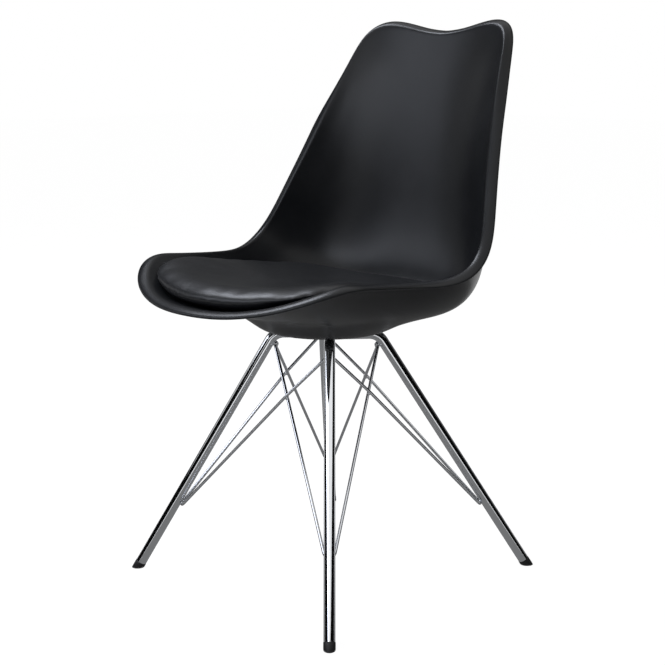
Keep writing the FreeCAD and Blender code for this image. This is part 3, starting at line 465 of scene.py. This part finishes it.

# %% [markdown]
# ## The seat pad
#
# The pad is foam on a board, wrapped in the cover. Its edge follows the crest of the lip, a few
# millimetres inside it, and rises and falls with the sitter's thighs: highest in front of the hips, low
# at the rear. The edge is drawn through a few given places, with its height read off the picture, and a
# smooth closed curve joins them.

# %% The edge of the pad
PAD_GAP, PAD_REAR = 5.5, 101.0
EDGE_LEVELS = (
    (-250.0, 465.0), (-215.0, 469.0), (-177.0, 474.0), (-146.0, 476.0), (-120.0, 474.0),
    (-81.0, 468.0), (-37.0, 461.5), (15.0, 454.5), (60.0, 449.0), (110.0, 448.0),
)


def edge_level(y):
    for (y0, level), (y1, next_level) in zip(EDGE_LEVELS, EDGE_LEVELS[1:]):
        if y <= y1:
            return level + (next_level - level) * ramp(y0, y1, y)
    return EDGE_LEVELS[-1][1]


def pad_edge(steps):
    half = []
    for index in (0, 4, 7, 10, 13, 16, 19, 22):
        along = shell_point(*CREST[index + 1]) - shell_point(*CREST[index - 1])
        inward = Vector((-along.y, along.x, 0.0)).normalized()
        half.append((shell_point(*CREST[index]) + inward * PAD_GAP).xy)
    hip = half[-1]
    for across, along in ((0.97, 0.62), (0.80, 0.93), (0.42, 1.0), (0.0, 1.0)):
        half.append(Vector((hip.x * across, hip.y + (PAD_REAR - hip.y) * along)))
    loop = half + [Vector((-place.x, place.y)) for place in half[-2:0:-1]]
    edge = []
    for k in range(len(loop)):
        a, b, c, d = (loop[(k + step) % len(loop)] for step in (-1, 0, 1, 2))
        for step in range(steps):
            s = step / steps
            place = b + (c - a) * (s / 2.0) + (a * 2.0 - b * 5.0 + c * 4.0 - d) * (s * s / 2.0)
            place += (b * 3.0 - a - c * 3.0 + d) * (s ** 3 / 2.0)
            edge.append(Vector((place.x, place.y, edge_level(place.y))))
    return edge


EDGE = pad_edge(5)
print("the pad is", round(2 * max(p.x for p in EDGE)), "mm wide with", len(EDGE), "points on its edge")

# %% [markdown]
# From each point of the edge a section runs from the board, out along the shell, up the bulging side,
# over a wide soft roll and into the dished top. The sections make a cage, and a subdivision surface
# rounds it. The cage could be the finished pad, but a cover over foam is never so regular. So it is made
# into an even net of small squares, which is blown up a little as cloth with air inside.


# %% The pad's cage
def over_shell(place, distance):
    low, high = 0.0, float(LAST)
    for _ in range(40):
        middle = (low + high) / 2.0
        low, high = (middle, high) if shell_point(place.x, middle).y < place.y else (low, middle)
    return shell_point(place.x, low) + shell_normal(place.x, low) * distance


BOARD_TOP, MIDDLE_LEVEL = FLOOR_LEVEL + 12.0, 454.0
BASE_HALF_WIDTH, BASE_HALF_LENGTH = 104.0, 74.0
CLEAR, TUCK, BULGE, BULGE_SHARE = 2.0, 5.0, 1.5, 0.45
ROLL_POINTS = ((3.0, -5.0), (20.0, 3.5), (46.0, 1.5))
pad_front, pad_half_width = EDGE[0].y, max(p.x for p in EDGE)
centre = Vector((0.0, (pad_front + PAD_REAR) / 2.0, 0.0))
cage = []
for place in EDGE:
    flat = Vector((place.x, place.y, 0.0))
    inward = (centre - flat).normalized()
    along = (flat.y - pad_front) / (PAD_REAR - pad_front) * 2.0 - 1.0
    base = Vector((flat.x / pad_half_width * BASE_HALF_WIDTH, along * BASE_HALF_LENGTH, BOARD_TOP))
    low = over_shell(flat + inward * TUCK, CLEAR)
    under = over_shell((base + low) * 0.5, CLEAR)
    side = flat - inward * BULGE + Vector((0.0, 0.0, low.z + (place.z - low.z) * BULGE_SHARE))
    shoulder, crest, roll = (
        flat + inward * inset + Vector((0.0, 0.0, place.z + lift)) for inset, lift in ROLL_POINTS
    )
    dish = flat + (centre - flat) * 0.5
    dish.z = MIDDLE_LEVEL + (place.z - MIDDLE_LEVEL) * 0.35
    top = flat + (centre - flat) * 0.8
    top.z = MIDDLE_LEVEL
    cage.append((base, under, low, side, shoulder, crest, roll, dish, top))
count, rings = len(cage), len(cage[0])
faces = []
for u in range(count):
    for v in range(rings - 1):
        a, b = u * rings + v, (u + 1) % count * rings + v
        faces.append((a, b, b + 1, a + 1))
faces.append(tuple(u * rings for u in range(count))[::-1])
faces.append(tuple(u * rings + rings - 1 for u in range(count)))
SQUARE = 4 * MM
pad_worker = worker_object("pad_cage", [p for section in cage for p in section], [], faces)
rounding = pad_worker.modifiers.new("rounding", "SUBSURF")
rounding.levels = rounding.render_levels = 2
squares = pad_worker.modifiers.new("squares", "REMESH")
squares.mode = "VOXEL"
squares.voxel_size = SQUARE
even_mesh = plain_mesh(pad_worker)
turn_faces_outward(even_mesh)
start = [v.co.copy() for v in even_mesh.vertices]
pad_low = min(p.z for p in start)
pad_high = max(p.z for p in start)
print("pad net of", len(start), "points from", round(pad_low, 4), "to", round(pad_high, 4))

# %% [markdown]
# The underside is held still and only the top and the sides may move. What the air does is kept within a
# few millimetres. Smoothing then draws the edge into a wide soft roll, as foam under a tight cover has,
# and takes away the steps of the squares. Last, a point that came too near the shell is moved back to two
# millimetres off it.

# %% Hold, inflate and smooth
PUFF, FRAMES, SMOOTHINGS = 3.0 * MM, 20, 10
HELD_BELOW, FREE_ABOVE = 0.438, 0.452
hold = [1.0 - ramp(HELD_BELOW, FREE_ABOVE, p.z) for p in start]
moved = start
blown = bpy.data.objects.new("pad_blown", even_mesh)
bpy.context.scene.collection.objects.link(blown)
group = blown.vertex_groups.new(name="held")
for k, weight in enumerate(hold):
    group.add([k], weight, "REPLACE")
cloth = blown.modifiers.new("cover", "CLOTH")
cloth.settings.quality = 6
cloth.settings.mass = 0.3
cloth.settings.use_pressure = True
cloth.settings.uniform_pressure_force = 4.0
cloth.settings.vertex_group_mass = "held"
cloth.settings.effector_weights.gravity = 0.0
cloth.point_cache.frame_start = 1
cloth.point_cache.frame_end = FRAMES
for number in range(1, FRAMES + 1):
    bpy.context.scene.frame_set(number)
depsgraph = bpy.context.evaluated_depsgraph_get()
puffed = blown.evaluated_get(depsgraph).to_mesh()
moved = [v.co.copy() for v in puffed.vertices]
bpy.data.objects.remove(blown)
bpy.context.scene.frame_set(1)
for vertex, before, after, weight in zip(even_mesh.vertices, start, moved, hold):
    step = after - before
    if step.length > PUFF:
        step = step * (PUFF / step.length)
    vertex.co = before + step * (1.0 - weight)
bm = bmesh.new()
bm.from_mesh(even_mesh)
free = [vertex for vertex, weight in zip(bm.verts, hold) if weight < 0.9]
for _ in range(SMOOTHINGS):
    bmesh.ops.smooth_vert(bm, verts=free, factor=0.5, use_axis_x=True, use_axis_y=True, use_axis_z=True)
bm.to_mesh(even_mesh)
bm.free()
smooth_worker = bpy.data.objects.new("pad_smooth", even_mesh)
bpy.context.scene.collection.objects.link(smooth_worker)
finer = smooth_worker.modifiers.new("finer", "SUBSURF")
finer.levels = finer.render_levels = 1
pad_mesh = plain_mesh(smooth_worker)
shell_places = [v.co for v in shell_mesh.vertices]
shell_faces = BVHTree.FromPolygons(shell_places, [f.vertices for f in shell_mesh.polygons])
for vertex in pad_mesh.vertices:
    spot, normal, index, distance = shell_faces.find_nearest(vertex.co)
    if (vertex.co - spot).dot(normal) < CLEAR * MM:
        vertex.co = spot + normal * (CLEAR * MM)
pad_mesh.shade_smooth()
pad = finish_piece("leather_pad", pad_mesh, leather, "pad_leather", "pad_cover", "pad_foam")

# %% [markdown]
# ## Tubes and wires
#
# All of the frame is round metal that follows a path: four legs of tube and four braces of wire. One node
# tree serves them all. It takes a path of straight runs, rounds each corner by the bend radius that the
# point carries, and sweeps a circle along it.


# %% A tree that sweeps metal along a path
def sweep_tree():
    tree = bpy.data.node_groups.new("round_metal_along_a_path", "GeometryNodeTree")
    tree.interface.new_socket("Path", in_out="INPUT", socket_type="NodeSocketGeometry")
    tree.interface.new_socket("Radius", in_out="INPUT", socket_type="NodeSocketFloat")
    tree.interface.new_socket("Sides", in_out="INPUT", socket_type="NodeSocketInt")
    tree.interface.new_socket("Finish", in_out="INPUT", socket_type="NodeSocketMaterial")
    tree.interface.new_socket("Metal", in_out="OUTPUT", socket_type="NodeSocketGeometry")
    given = add(tree, "NodeGroupInput").outputs
    bend = add(tree, "GeometryNodeInputNamedAttribute", {"Name": "bend"}, data_type="FLOAT")
    line = add(tree, "GeometryNodeMeshToCurve", {"Mesh": given["Path"]})
    bent_line = add(tree, "GeometryNodeFilletCurve", {
        "Curve": line.outputs["Curve"], "Radius": bend.outputs["Attribute"],
        "Limit Radius": True, "Count": 14,
    }, mode="POLY")
    circle = add(tree, "GeometryNodeCurvePrimitiveCircle", {
        "Resolution": given["Sides"], "Radius": given["Radius"],
    })
    skin = add(tree, "GeometryNodeCurveToMesh", {
        "Curve": bent_line.outputs["Curve"], "Profile Curve": circle.outputs["Curve"], "Fill Caps": True,
    })
    whole = add(tree, "GeometryNodeRealizeInstances", {"Geometry": skin.outputs["Mesh"]})
    coated = add(tree, "GeometryNodeSetMaterial", {
        "Geometry": whole.outputs["Geometry"], "Material": given["Finish"],
    })
    add(tree, "NodeGroupOutput", {"Metal": coated.outputs["Geometry"]})
    return tree


sweep = sweep_tree()


def run_tree(worker, tree, **values):
    modifier = worker.modifiers.new(tree.name, "NODES")
    modifier.node_group = tree
    for item in tree.interface.items_tree:
        if item.item_type == "SOCKET" and item.in_out == "INPUT" and item.name in values:
            modifier[item.identifier] = values[item.name]
    return plain_mesh(worker)


def swept_piece(name, points, bends, radius, sides, material, slot, node):
    worker = worker_object(name, points, [(k, k + 1) for k in range(len(points) - 1)], [])
    attribute = worker.data.attributes.new("bend", "FLOAT", "POINT")
    attribute.data.foreach_set("value", [bend * MM for bend in bends])
    mesh = run_tree(worker, sweep, Radius=radius * MM, Sides=sides, Finish=material)
    mesh.shade_smooth()
    mesh.set_sharp_from_angle(angle=math.radians(50))
    return finish_piece(name, mesh, material, slot, node)


print("one tree with", len(sweep.nodes), "nodes for legs and braces")

# %% [markdown]
# Each leg lies in an upright plane that is turned about the chair. It runs out level under the mounting
# plate, bends down, and leans out to its foot. The front and the rear pair have slightly different
# angles.

# %% The legs
LEGS = {
    "front_left": (1, -1, 8.7, 45.4, 295.6, 30.05),
    "rear_left": (1, 1, -12.4, 48.45, 320.4, 32.36),
    "rear_right": (-1, 1, -12.4, 48.45, 320.4, 32.36),
    "front_right": (-1, -1, 8.7, 45.4, 295.6, 30.05),
}
TUBE, WIRE, BEND, GLIDE_HEIGHT, RUN_START = 8.0, 2.3, 24.0, 9.0, 32.0
RUN_LEVEL = FLOOR_LEVEL - WALL - 6.0 - 2.0 - 3.0 - 0.1 - TUBE


def leg_point(leg, reach, level):
    across, along, origin, bearing = LEGS[leg][:4]
    turn = math.radians(bearing)
    return Vector((across * reach * math.cos(turn), origin + along * reach * math.sin(turn), level))


def leg_axis(leg, level):
    reach, lean = LEGS[leg][4], math.radians(LEGS[leg][5])
    point = leg_point(leg, reach - level * math.tan(lean), level)
    up = (leg_point(leg, -math.sin(lean), math.cos(lean)) - leg_point(leg, 0.0, 0.0)).normalized()
    inner = (leg_point(leg, -math.cos(lean), -math.sin(lean)) - leg_point(leg, 0.0, 0.0)).normalized()
    return point, up, inner, up.cross(inner)


for leg, values in LEGS.items():
    reach, lean = values[4], math.radians(values[5])
    corner = reach - RUN_LEVEL * math.tan(lean)
    path = [leg_point(leg, across, RUN_LEVEL) for across in (RUN_START, corner)]
    path.append(leg_axis(leg, GLIDE_HEIGHT)[0])
    swept_piece("tube_leg_" + leg, path, (0.0, BEND, 0.0), TUBE, 40, tube_chrome, "tube_chrome", "leg_" + leg)

# %% [markdown]
# A brace is one wire bent to a V. Its tip is welded low on the inner side of one leg, and its two ends
# high on the two neighbouring legs, so two wires cross in each face of the frame. At each crossing one of
# them steps out over the other by a wire's thickness.

# %% The braces
RING = tuple(LEGS)
STRAIGHT = ("front_left", "rear_right")
TIP_HEIGHT, TIP_RADIUS, KINK_RADIUS, END_SPREAD, END_DROP, WIRE_GAP = 108.0, 8.0, 60.0, 2.9, 1.5, 0.15
OFFSET = TUBE + WIRE + WIRE_GAP


def neighbours(leg):
    k = RING.index(leg)
    return RING[k - 1], RING[(k + 1) % 4]


def brace_end(leg, owner):
    lean = math.radians(LEGS[leg][5])
    drop = BEND * math.tan((math.pi / 2.0 - lean) / 2.0) * math.cos(lean) + END_DROP
    point, up, inner, across = leg_axis(leg, RUN_LEVEL - drop)
    side = 1.0 if across.dot(leg_axis(owner, 0.0)[0] - point) > 0.0 else -1.0
    return point + inner * math.sqrt(OFFSET ** 2 - END_SPREAD ** 2) + across * (side * END_SPREAD)


def brace_tip(leg):
    point, up, inner, across = leg_axis(leg, TIP_HEIGHT)
    return point + inner * OFFSET


def brace_corner(leg):
    tip = corner = brace_tip(leg)
    for _ in range(12):
        ways = [(brace_end(other, leg) - corner).normalized() for other in neighbours(leg)]
        half_angle = ways[0].angle(ways[1]) / 2.0
        corner = tip - (ways[0] + ways[1]).normalized() * (TIP_RADIUS / math.sin(half_angle) - TIP_RADIUS)
    return corner


def crossing(straight, stepped):
    a, b = brace_corner(straight), brace_end(stepped, straight)
    c, d = brace_corner(stepped), brace_end(straight, stepped)
    u, v, w = b - a, d - c, a - c
    normal = u.cross(v)
    on_straight = a + u * (v.cross(w).dot(normal) / normal.dot(normal))
    outward = normal.normalized()
    if outward.dot(Vector((on_straight.x, on_straight.y, 0.0))) < 0.0:
        outward = -outward
    return on_straight, on_straight + outward * (2.0 * WIRE + WIRE_GAP)


for leg in RING:
    before, after = neighbours(leg)
    path = [brace_end(before, leg), brace_corner(leg), brace_end(after, leg)]
    bends = [0.0, TIP_RADIUS, 0.0]
    if leg not in STRAIGHT:
        path.insert(1, crossing(before, leg)[1])
        path.insert(3, crossing(after, leg)[1])
        bends = [0.0, KINK_RADIUS, TIP_RADIUS, KINK_RADIUS, 0.0]
    swept_piece("wire_brace_" + leg, path, bends, WIRE, 20, wire_chrome, "wire_chrome", "brace_" + leg)

# %% [markdown]
# ## Weld beads
#
# Where wires cross or meet a tube, a small lump of weld metal holds them. The lumps are the same thing at
# many places, so a second tree puts a rough little ball on each point, as large as the point says, and
# roughens it with a noise.


# %% A tree that puts a bead on each point
def bead_tree():
    tree = bpy.data.node_groups.new("weld_beads_on_points", "GeometryNodeTree")
    tree.interface.new_socket("Places", in_out="INPUT", socket_type="NodeSocketGeometry")
    tree.interface.new_socket("Unevenness", in_out="INPUT", socket_type="NodeSocketFloat")
    tree.interface.new_socket("Finish", in_out="INPUT", socket_type="NodeSocketMaterial")
    tree.interface.new_socket("Beads", in_out="OUTPUT", socket_type="NodeSocketGeometry")
    given = add(tree, "NodeGroupInput").outputs
    large = add(tree, "GeometryNodeInputNamedAttribute", {"Name": "bead_radius"}, data_type="FLOAT")
    ball = add(tree, "GeometryNodeMeshUVSphere", {"Segments": 24, "Rings": 14, "Radius": 1.0})
    placed = add(tree, "GeometryNodeInstanceOnPoints", {
        "Points": given["Places"], "Instance": ball.outputs["Mesh"], "Scale": large.outputs["Attribute"],
    })
    whole = add(tree, "GeometryNodeRealizeInstances", {"Geometry": placed.outputs["Instances"]})
    lumps = add(tree, "ShaderNodeTexNoise", {"Scale": 1.0 / (3.5 * MM), "Detail": 1.0})
    height = add(tree, "ShaderNodeMath", {0: lumps.outputs["Fac"], 1: 0.5}, operation="SUBTRACT")
    swell = add(tree, "ShaderNodeMath", {
        0: height.outputs["Value"], 1: given["Unevenness"],
    }, operation="MULTIPLY")
    normal = add(tree, "GeometryNodeInputNormal")
    push = add(tree, "ShaderNodeVectorMath", {
        0: normal.outputs["Normal"], "Scale": swell.outputs["Value"],
    }, operation="SCALE")
    rough = add(tree, "GeometryNodeSetPosition", {
        "Geometry": whole.outputs["Geometry"], "Offset": push.outputs["Vector"],
    })
    coated = add(tree, "GeometryNodeSetMaterial", {
        "Geometry": rough.outputs["Geometry"], "Material": given["Finish"],
    })
    add(tree, "NodeGroupOutput", {"Beads": coated.outputs["Geometry"]})
    return tree


beads = bead_tree()


def bead_piece(name, places, node):
    worker = worker_object(name, [place for place, radius in places], [], [])
    attribute = worker.data.attributes.new("bead_radius", "FLOAT", "POINT")
    attribute.data.foreach_set("value", [radius * MM for place, radius in places])
    mesh = run_tree(worker, beads, Unevenness=1.6 * MM, Finish=weld_chrome)
    mesh.shade_smooth()
    return finish_piece(name, mesh, weld_chrome, "weld_chrome", node)


cross_places = []
for straight in STRAIGHT:
    for stepped in neighbours(straight):
        inside, outside = crossing(straight, stepped)
        cross_places.append(((inside + outside) * 0.5, 3.6))
bead_piece("crossing_beads", cross_places, "crossing_welds")
joint_places = []
for leg in RING:
    point, up, inner, across = leg_axis(leg, TIP_HEIGHT)
    joint_places.append((point + inner * (TUBE + 0.6), 3.8))
    ends = [brace_end(leg, owner) for owner in neighbours(leg)]
    joint_places.append(((ends[0] + ends[1]) * 0.5 + up * 1.5, 4.4))
bead_piece("joint_beads", joint_places, "brace_welds")

# %% [markdown]
# ## Glides
#
# Each leg ends in a black plastic glide that is pushed into the tube. Its collar is a hair wider than the
# tube and is cut level with the floor, so its foot is an oval. A ring of points is slid along the leg
# until it meets the floor.

# %% The foot glides
glide_plastic, tree = blank_material("moulded_polyethylene")
place = add(tree, "ShaderNodeTexCoord").outputs["Object"]
scuff = add(tree, "ShaderNodeTexNoise", {"Vector": place, "Scale": 1.0 / (1.5 * MM), "Detail": 3.0})
gloss = add(tree, "ShaderNodeMapRange", {"Value": scuff.outputs["Fac"], "To Min": 0.45, "To Max": 0.65})
relief = add(tree, "ShaderNodeBump", {"Height": scuff.outputs["Fac"], "Strength": 0.1, "Distance": 0.1 * MM})
soft = add(tree, "ShaderNodeBsdfPrincipled", {
    "Base Color": colour("#0e0e10"),
    "Roughness": gloss.outputs["Result"],
    "IOR": 1.51,
    "Normal": relief.outputs["Normal"],
})
add(tree, "ShaderNodeOutputMaterial", {"Surface": soft.outputs["BSDF"]})
SIDES = 48
for leg in RING:
    top, up, inner, across = leg_axis(leg, GLIDE_HEIGHT)
    rings = []
    for radius, above in ((TUBE - 2.0, 0.4), (TUBE - 0.6, 0.4), (TUBE + 0.2, 0.2), (TUBE + 0.4, -0.4)):
        turns = [math.tau * k / SIDES for k in range(SIDES)]
        ways = [inner * math.cos(turn) + across * math.sin(turn) for turn in turns]
        rings.append([top + up * above + way * radius for way in ways])
    collar = rings[-1]
    for level, inset in ((0.9, 0.0), (0.25, 0.25), (0.0, 1.0)):
        foot = [p + up * ((level - p.z) / up.z) for p in collar]
        middle = sum(foot, Vector()) / SIDES
        rings.append([p + (middle - p).normalized() * inset for p in foot])
    vertices = [p for ring in rings for p in ring]
    faces = []
    for r in range(len(rings) - 1):
        for k in range(SIDES):
            a, b = r * SIDES + k, r * SIDES + (k + 1) % SIDES
            faces.append((a, a + SIDES, b + SIDES, b))
    faces.append(tuple(range(SIDES)))
    faces.append(tuple((len(rings) - 1) * SIDES + k for k in range(SIDES))[::-1])
    mesh = plain_mesh(worker_object("glide_" + leg, vertices, [], faces))
    turn_faces_outward(mesh)
    mesh.shade_smooth()
    mesh.set_sharp_from_angle(angle=math.radians(40))
    finish_piece("glide_foot_" + leg, mesh, glide_plastic, "glide_plastic", "foot_glide_" + leg)

# %% [markdown]
# ## Under the seat
#
# The mounting plate, its screws, washers and buffers, and the pad's board keep their solids, because flat
# sheet and turned parts are already right. They only get finishes: powder coat, zinc plate, brass, rubber
# and plywood.


# %% Finishes under the seat
def speckled(name, low, high, speck, roughness, metallic, relief_strength):
    material, tree = blank_material(name)
    place = add(tree, "ShaderNodeTexCoord").outputs["Object"]
    specks = add(tree, "ShaderNodeTexNoise", {"Vector": place, "Scale": 1.0 / (speck * MM), "Detail": 3.0})
    tone = add(tree, "ShaderNodeMix", {
        "Factor": specks.outputs["Fac"], 6: colour(low), 7: colour(high),
    }, data_type="RGBA")
    gloss = add(tree, "ShaderNodeMapRange", {
        "Value": specks.outputs["Fac"], "To Min": roughness - 0.06, "To Max": roughness + 0.06,
    })
    bump = add(tree, "ShaderNodeBump", {
        "Height": specks.outputs["Fac"], "Strength": relief_strength, "Distance": 0.1 * MM,
    })
    surface = add(tree, "ShaderNodeBsdfPrincipled", {
        "Base Color": tone.outputs[2], "Metallic": metallic, "Roughness": gloss.outputs["Result"],
        "Normal": bump.outputs["Normal"],
    })
    add(tree, "ShaderNodeOutputMaterial", {"Surface": surface.outputs["BSDF"]})
    return material


finishes = {
    "mount_plate": speckled("powder_coated_steel", "#151618", "#1f2022", 0.8, 0.5, 0.0, 0.25),
    "frame_bolts": speckled("zinc_plated_steel", "#9a9c9e", "#b6b8ba", 2.0, 0.32, 1.0, 0.05),
    "shell_inserts": speckled("turned_brass", "#a8843f", "#c39c52", 1.5, 0.3, 1.0, 0.05),
    "mount_buffers": speckled("black_rubber", "#121213", "#1a1a1b", 1.0, 0.75, 0.0, 0.2),
    "pad_board": speckled("birch_plywood", "#b08d5c", "#d0ae7c", 3.0, 0.6, 0.0, 0.1),
    "run_welds": weld_chrome,
}
finishes["frame_washers"] = finishes["pad_screws"] = finishes["frame_bolts"]
for node, material in finishes.items():
    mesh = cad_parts[node].data
    mesh.materials.clear()
    mesh.materials.append(material)
print(len(finishes), "solids carry a finish")

# %% [markdown]
# ## Light and background
#
# The picture is a plain studio shot on white. The floor and the world look white to the camera and to
# mirrors, and give only a little light themselves. Behind the camera the studio is taken as dark: black
# cards, seen only in reflections, stand round the front of the chair, as high as a person, as painted dark
# reflections. Bright tubes need them for their dark streaks, and black plastic to look black.


# %% World and floor
def seen_directly_or_mirrored(tree):
    rays = add(tree, "ShaderNodeLightPath").outputs
    mirrored = add(tree, "ShaderNodeMath", {
        0: rays["Is Camera Ray"], 1: rays["Is Glossy Ray"],
    }, operation="MAXIMUM")
    seen = add(tree, "ShaderNodeMath", {
        0: mirrored.outputs[0], 1: rays["Is Transmission Ray"],
    }, operation="MAXIMUM")
    return seen.outputs[0]


world = bpy.data.worlds.new("studio")
bpy.context.scene.world = world
world.use_nodes = True
tree = world.node_tree
tree.nodes.clear()
seen = seen_directly_or_mirrored(tree)
dim = add(tree, "ShaderNodeBackground", {"Color": colour("#ffffff"), "Strength": 0.3})
white = add(tree, "ShaderNodeBackground", {"Color": colour("#ffffff"), "Strength": 1.0})
both = add(tree, "ShaderNodeMixShader", {0: seen, 1: dim.outputs[0], 2: white.outputs[0]})
add(tree, "ShaderNodeOutputWorld", {"Surface": both.outputs[0]})

floor_paper, tree = blank_material("white_paper_floor")
seen = seen_directly_or_mirrored(tree)
paper = add(tree, "ShaderNodeBsdfDiffuse", {"Color": colour("#e8e8e8")})
faint = add(tree, "ShaderNodeBsdfDiffuse", {"Color": colour("#6c6c6c")})
glow = add(tree, "ShaderNodeEmission", {"Color": colour("#ffffff"), "Strength": 0.95})
lit = add(tree, "ShaderNodeAddShader", {0: faint.outputs[0], 1: glow.outputs[0]})
both = add(tree, "ShaderNodeMixShader", {0: seen, 1: paper.outputs[0], 2: lit.outputs[0]})
add(tree, "ShaderNodeOutputMaterial", {"Surface": both.outputs[0]})
HALF = 12.0
floor_mesh = bpy.data.meshes.new("floor")
corners = [(-HALF, -HALF, 0), (HALF, -HALF, 0), (HALF, HALF, 0), (-HALF, HALF, 0)]
floor_mesh.from_pydata(corners, [], [(0, 1, 2, 3)])
floor_mesh.materials.append(floor_paper)
floor = bpy.data.objects.new("floor", floor_mesh)
bpy.context.scene.collection.objects.link(floor)
print("white floor of", 2 * HALF, "m")

# %% [markdown]
# Two soft lamps light the chair: one high on its right, which gives the pad its highlight, and a wide one
# in front of the back. What black plastic and chrome show beside them is the room, and the room is painted
# into their reflections with standing cards that glow but light nothing: dark walls and a grey screen
# behind for painted dark reflections, two pale cards for painted highlights, and a grey disc round the
# chair for a painted shade of the floor under it. Cards only appear in reflections. More lamps could do
# the same, but they would also lighten the black.


# %% Lamps and the dark side of the room
def soft_lamp(name, where, aim, width, height, power):
    data = bpy.data.lights.new(name, "AREA")
    data.shape = "RECTANGLE"
    data.size = width
    data.size_y = height
    data.energy = power
    data.color = colour("#eef3ff")[:3]
    lamp = bpy.data.objects.new(name, data)
    lamp.location = where
    lamp.rotation_euler = (Vector(aim) - Vector(where)).to_track_quat("-Z", "Y").to_euler()
    bpy.context.scene.collection.objects.link(lamp)


soft_lamp("overhead_lamp", (-1.11, -0.1, 2.23), (0.0, 0.0, 0.45), 0.7, 0.7, 22.0)
soft_lamp("front_lamp", (-0.35, -1.66, 1.34), (0.0, 0.2, 0.7), 3.0, 0.6, 22.0)


def card(name, points, panels, glow):
    material, tree = blank_material(name)
    cloth = add(tree, "ShaderNodeEmission", {"Color": colour("#ffffff"), "Strength": glow})
    add(tree, "ShaderNodeOutputMaterial", {"Surface": cloth.outputs[0]})
    mesh = bpy.data.meshes.new(name)
    mesh.from_pydata(points, [], panels)
    mesh.materials.append(material)
    piece = bpy.data.objects.new(name, mesh)
    piece.visible_camera = False
    piece.visible_shadow = False
    piece.visible_diffuse = False
    bpy.context.scene.collection.objects.link(piece)


def standing_card(name, first, last, low, high, away, glow):
    steps = 12
    points = []
    for k in range(steps + 1):
        turn = math.radians(first + (last - first) * k / steps)
        x, y = away * math.cos(turn), away * math.sin(turn)
        points += [(x, y, low), (x, y, high)]
    card(name, points, [(2 * k, 2 * k + 2, 2 * k + 3, 2 * k + 1) for k in range(steps)], glow)


JUST_OFF_FLOOR, FLOOR_SHADE_RADIUS, FLOOR_SHADE_SIDES = 0.002, 1.1, 48
# The dark cards and the grey screen glow but light nothing and cast no shadow: painted dark reflections.
standing_card("dark_reflection_left", -200.0, -100.0, JUST_OFF_FLOOR, 3.4, 3.2, 0.003)
standing_card("dark_reflection_camera", -100.0, 60.0, JUST_OFF_FLOOR, 1.95, 3.2, 0.003)
standing_card("grey_reflection_behind", 60.0, 160.0, JUST_OFF_FLOOR, 3.6, 3.2, 0.10)
# The two pale cards glow but light nothing: painted highlights on the black plastic and leather.
standing_card("left_painted_highlight", -182.0, -142.0, 0.75, 1.7, 3.1, 0.6)
standing_card("right_painted_highlight", -88.0, -62.0, 0.62, 1.15, 3.1, 0.9)
# The grey disc on the floor round the chair is seen only in reflections, where it shows a darker, shaded
# floor: painted shade.
turns = [math.tau * k / FLOOR_SHADE_SIDES for k in range(FLOOR_SHADE_SIDES)]
ring = [(FLOOR_SHADE_RADIUS * math.cos(turn), FLOOR_SHADE_RADIUS * math.sin(turn), JUST_OFF_FLOOR) for turn in turns]
card("painted_floor_shade", ring, [tuple(range(FLOOR_SHADE_SIDES))], 0.21)
bpy.context.scene.view_settings.view_transform = "Standard"
print("two lamps and six cards")
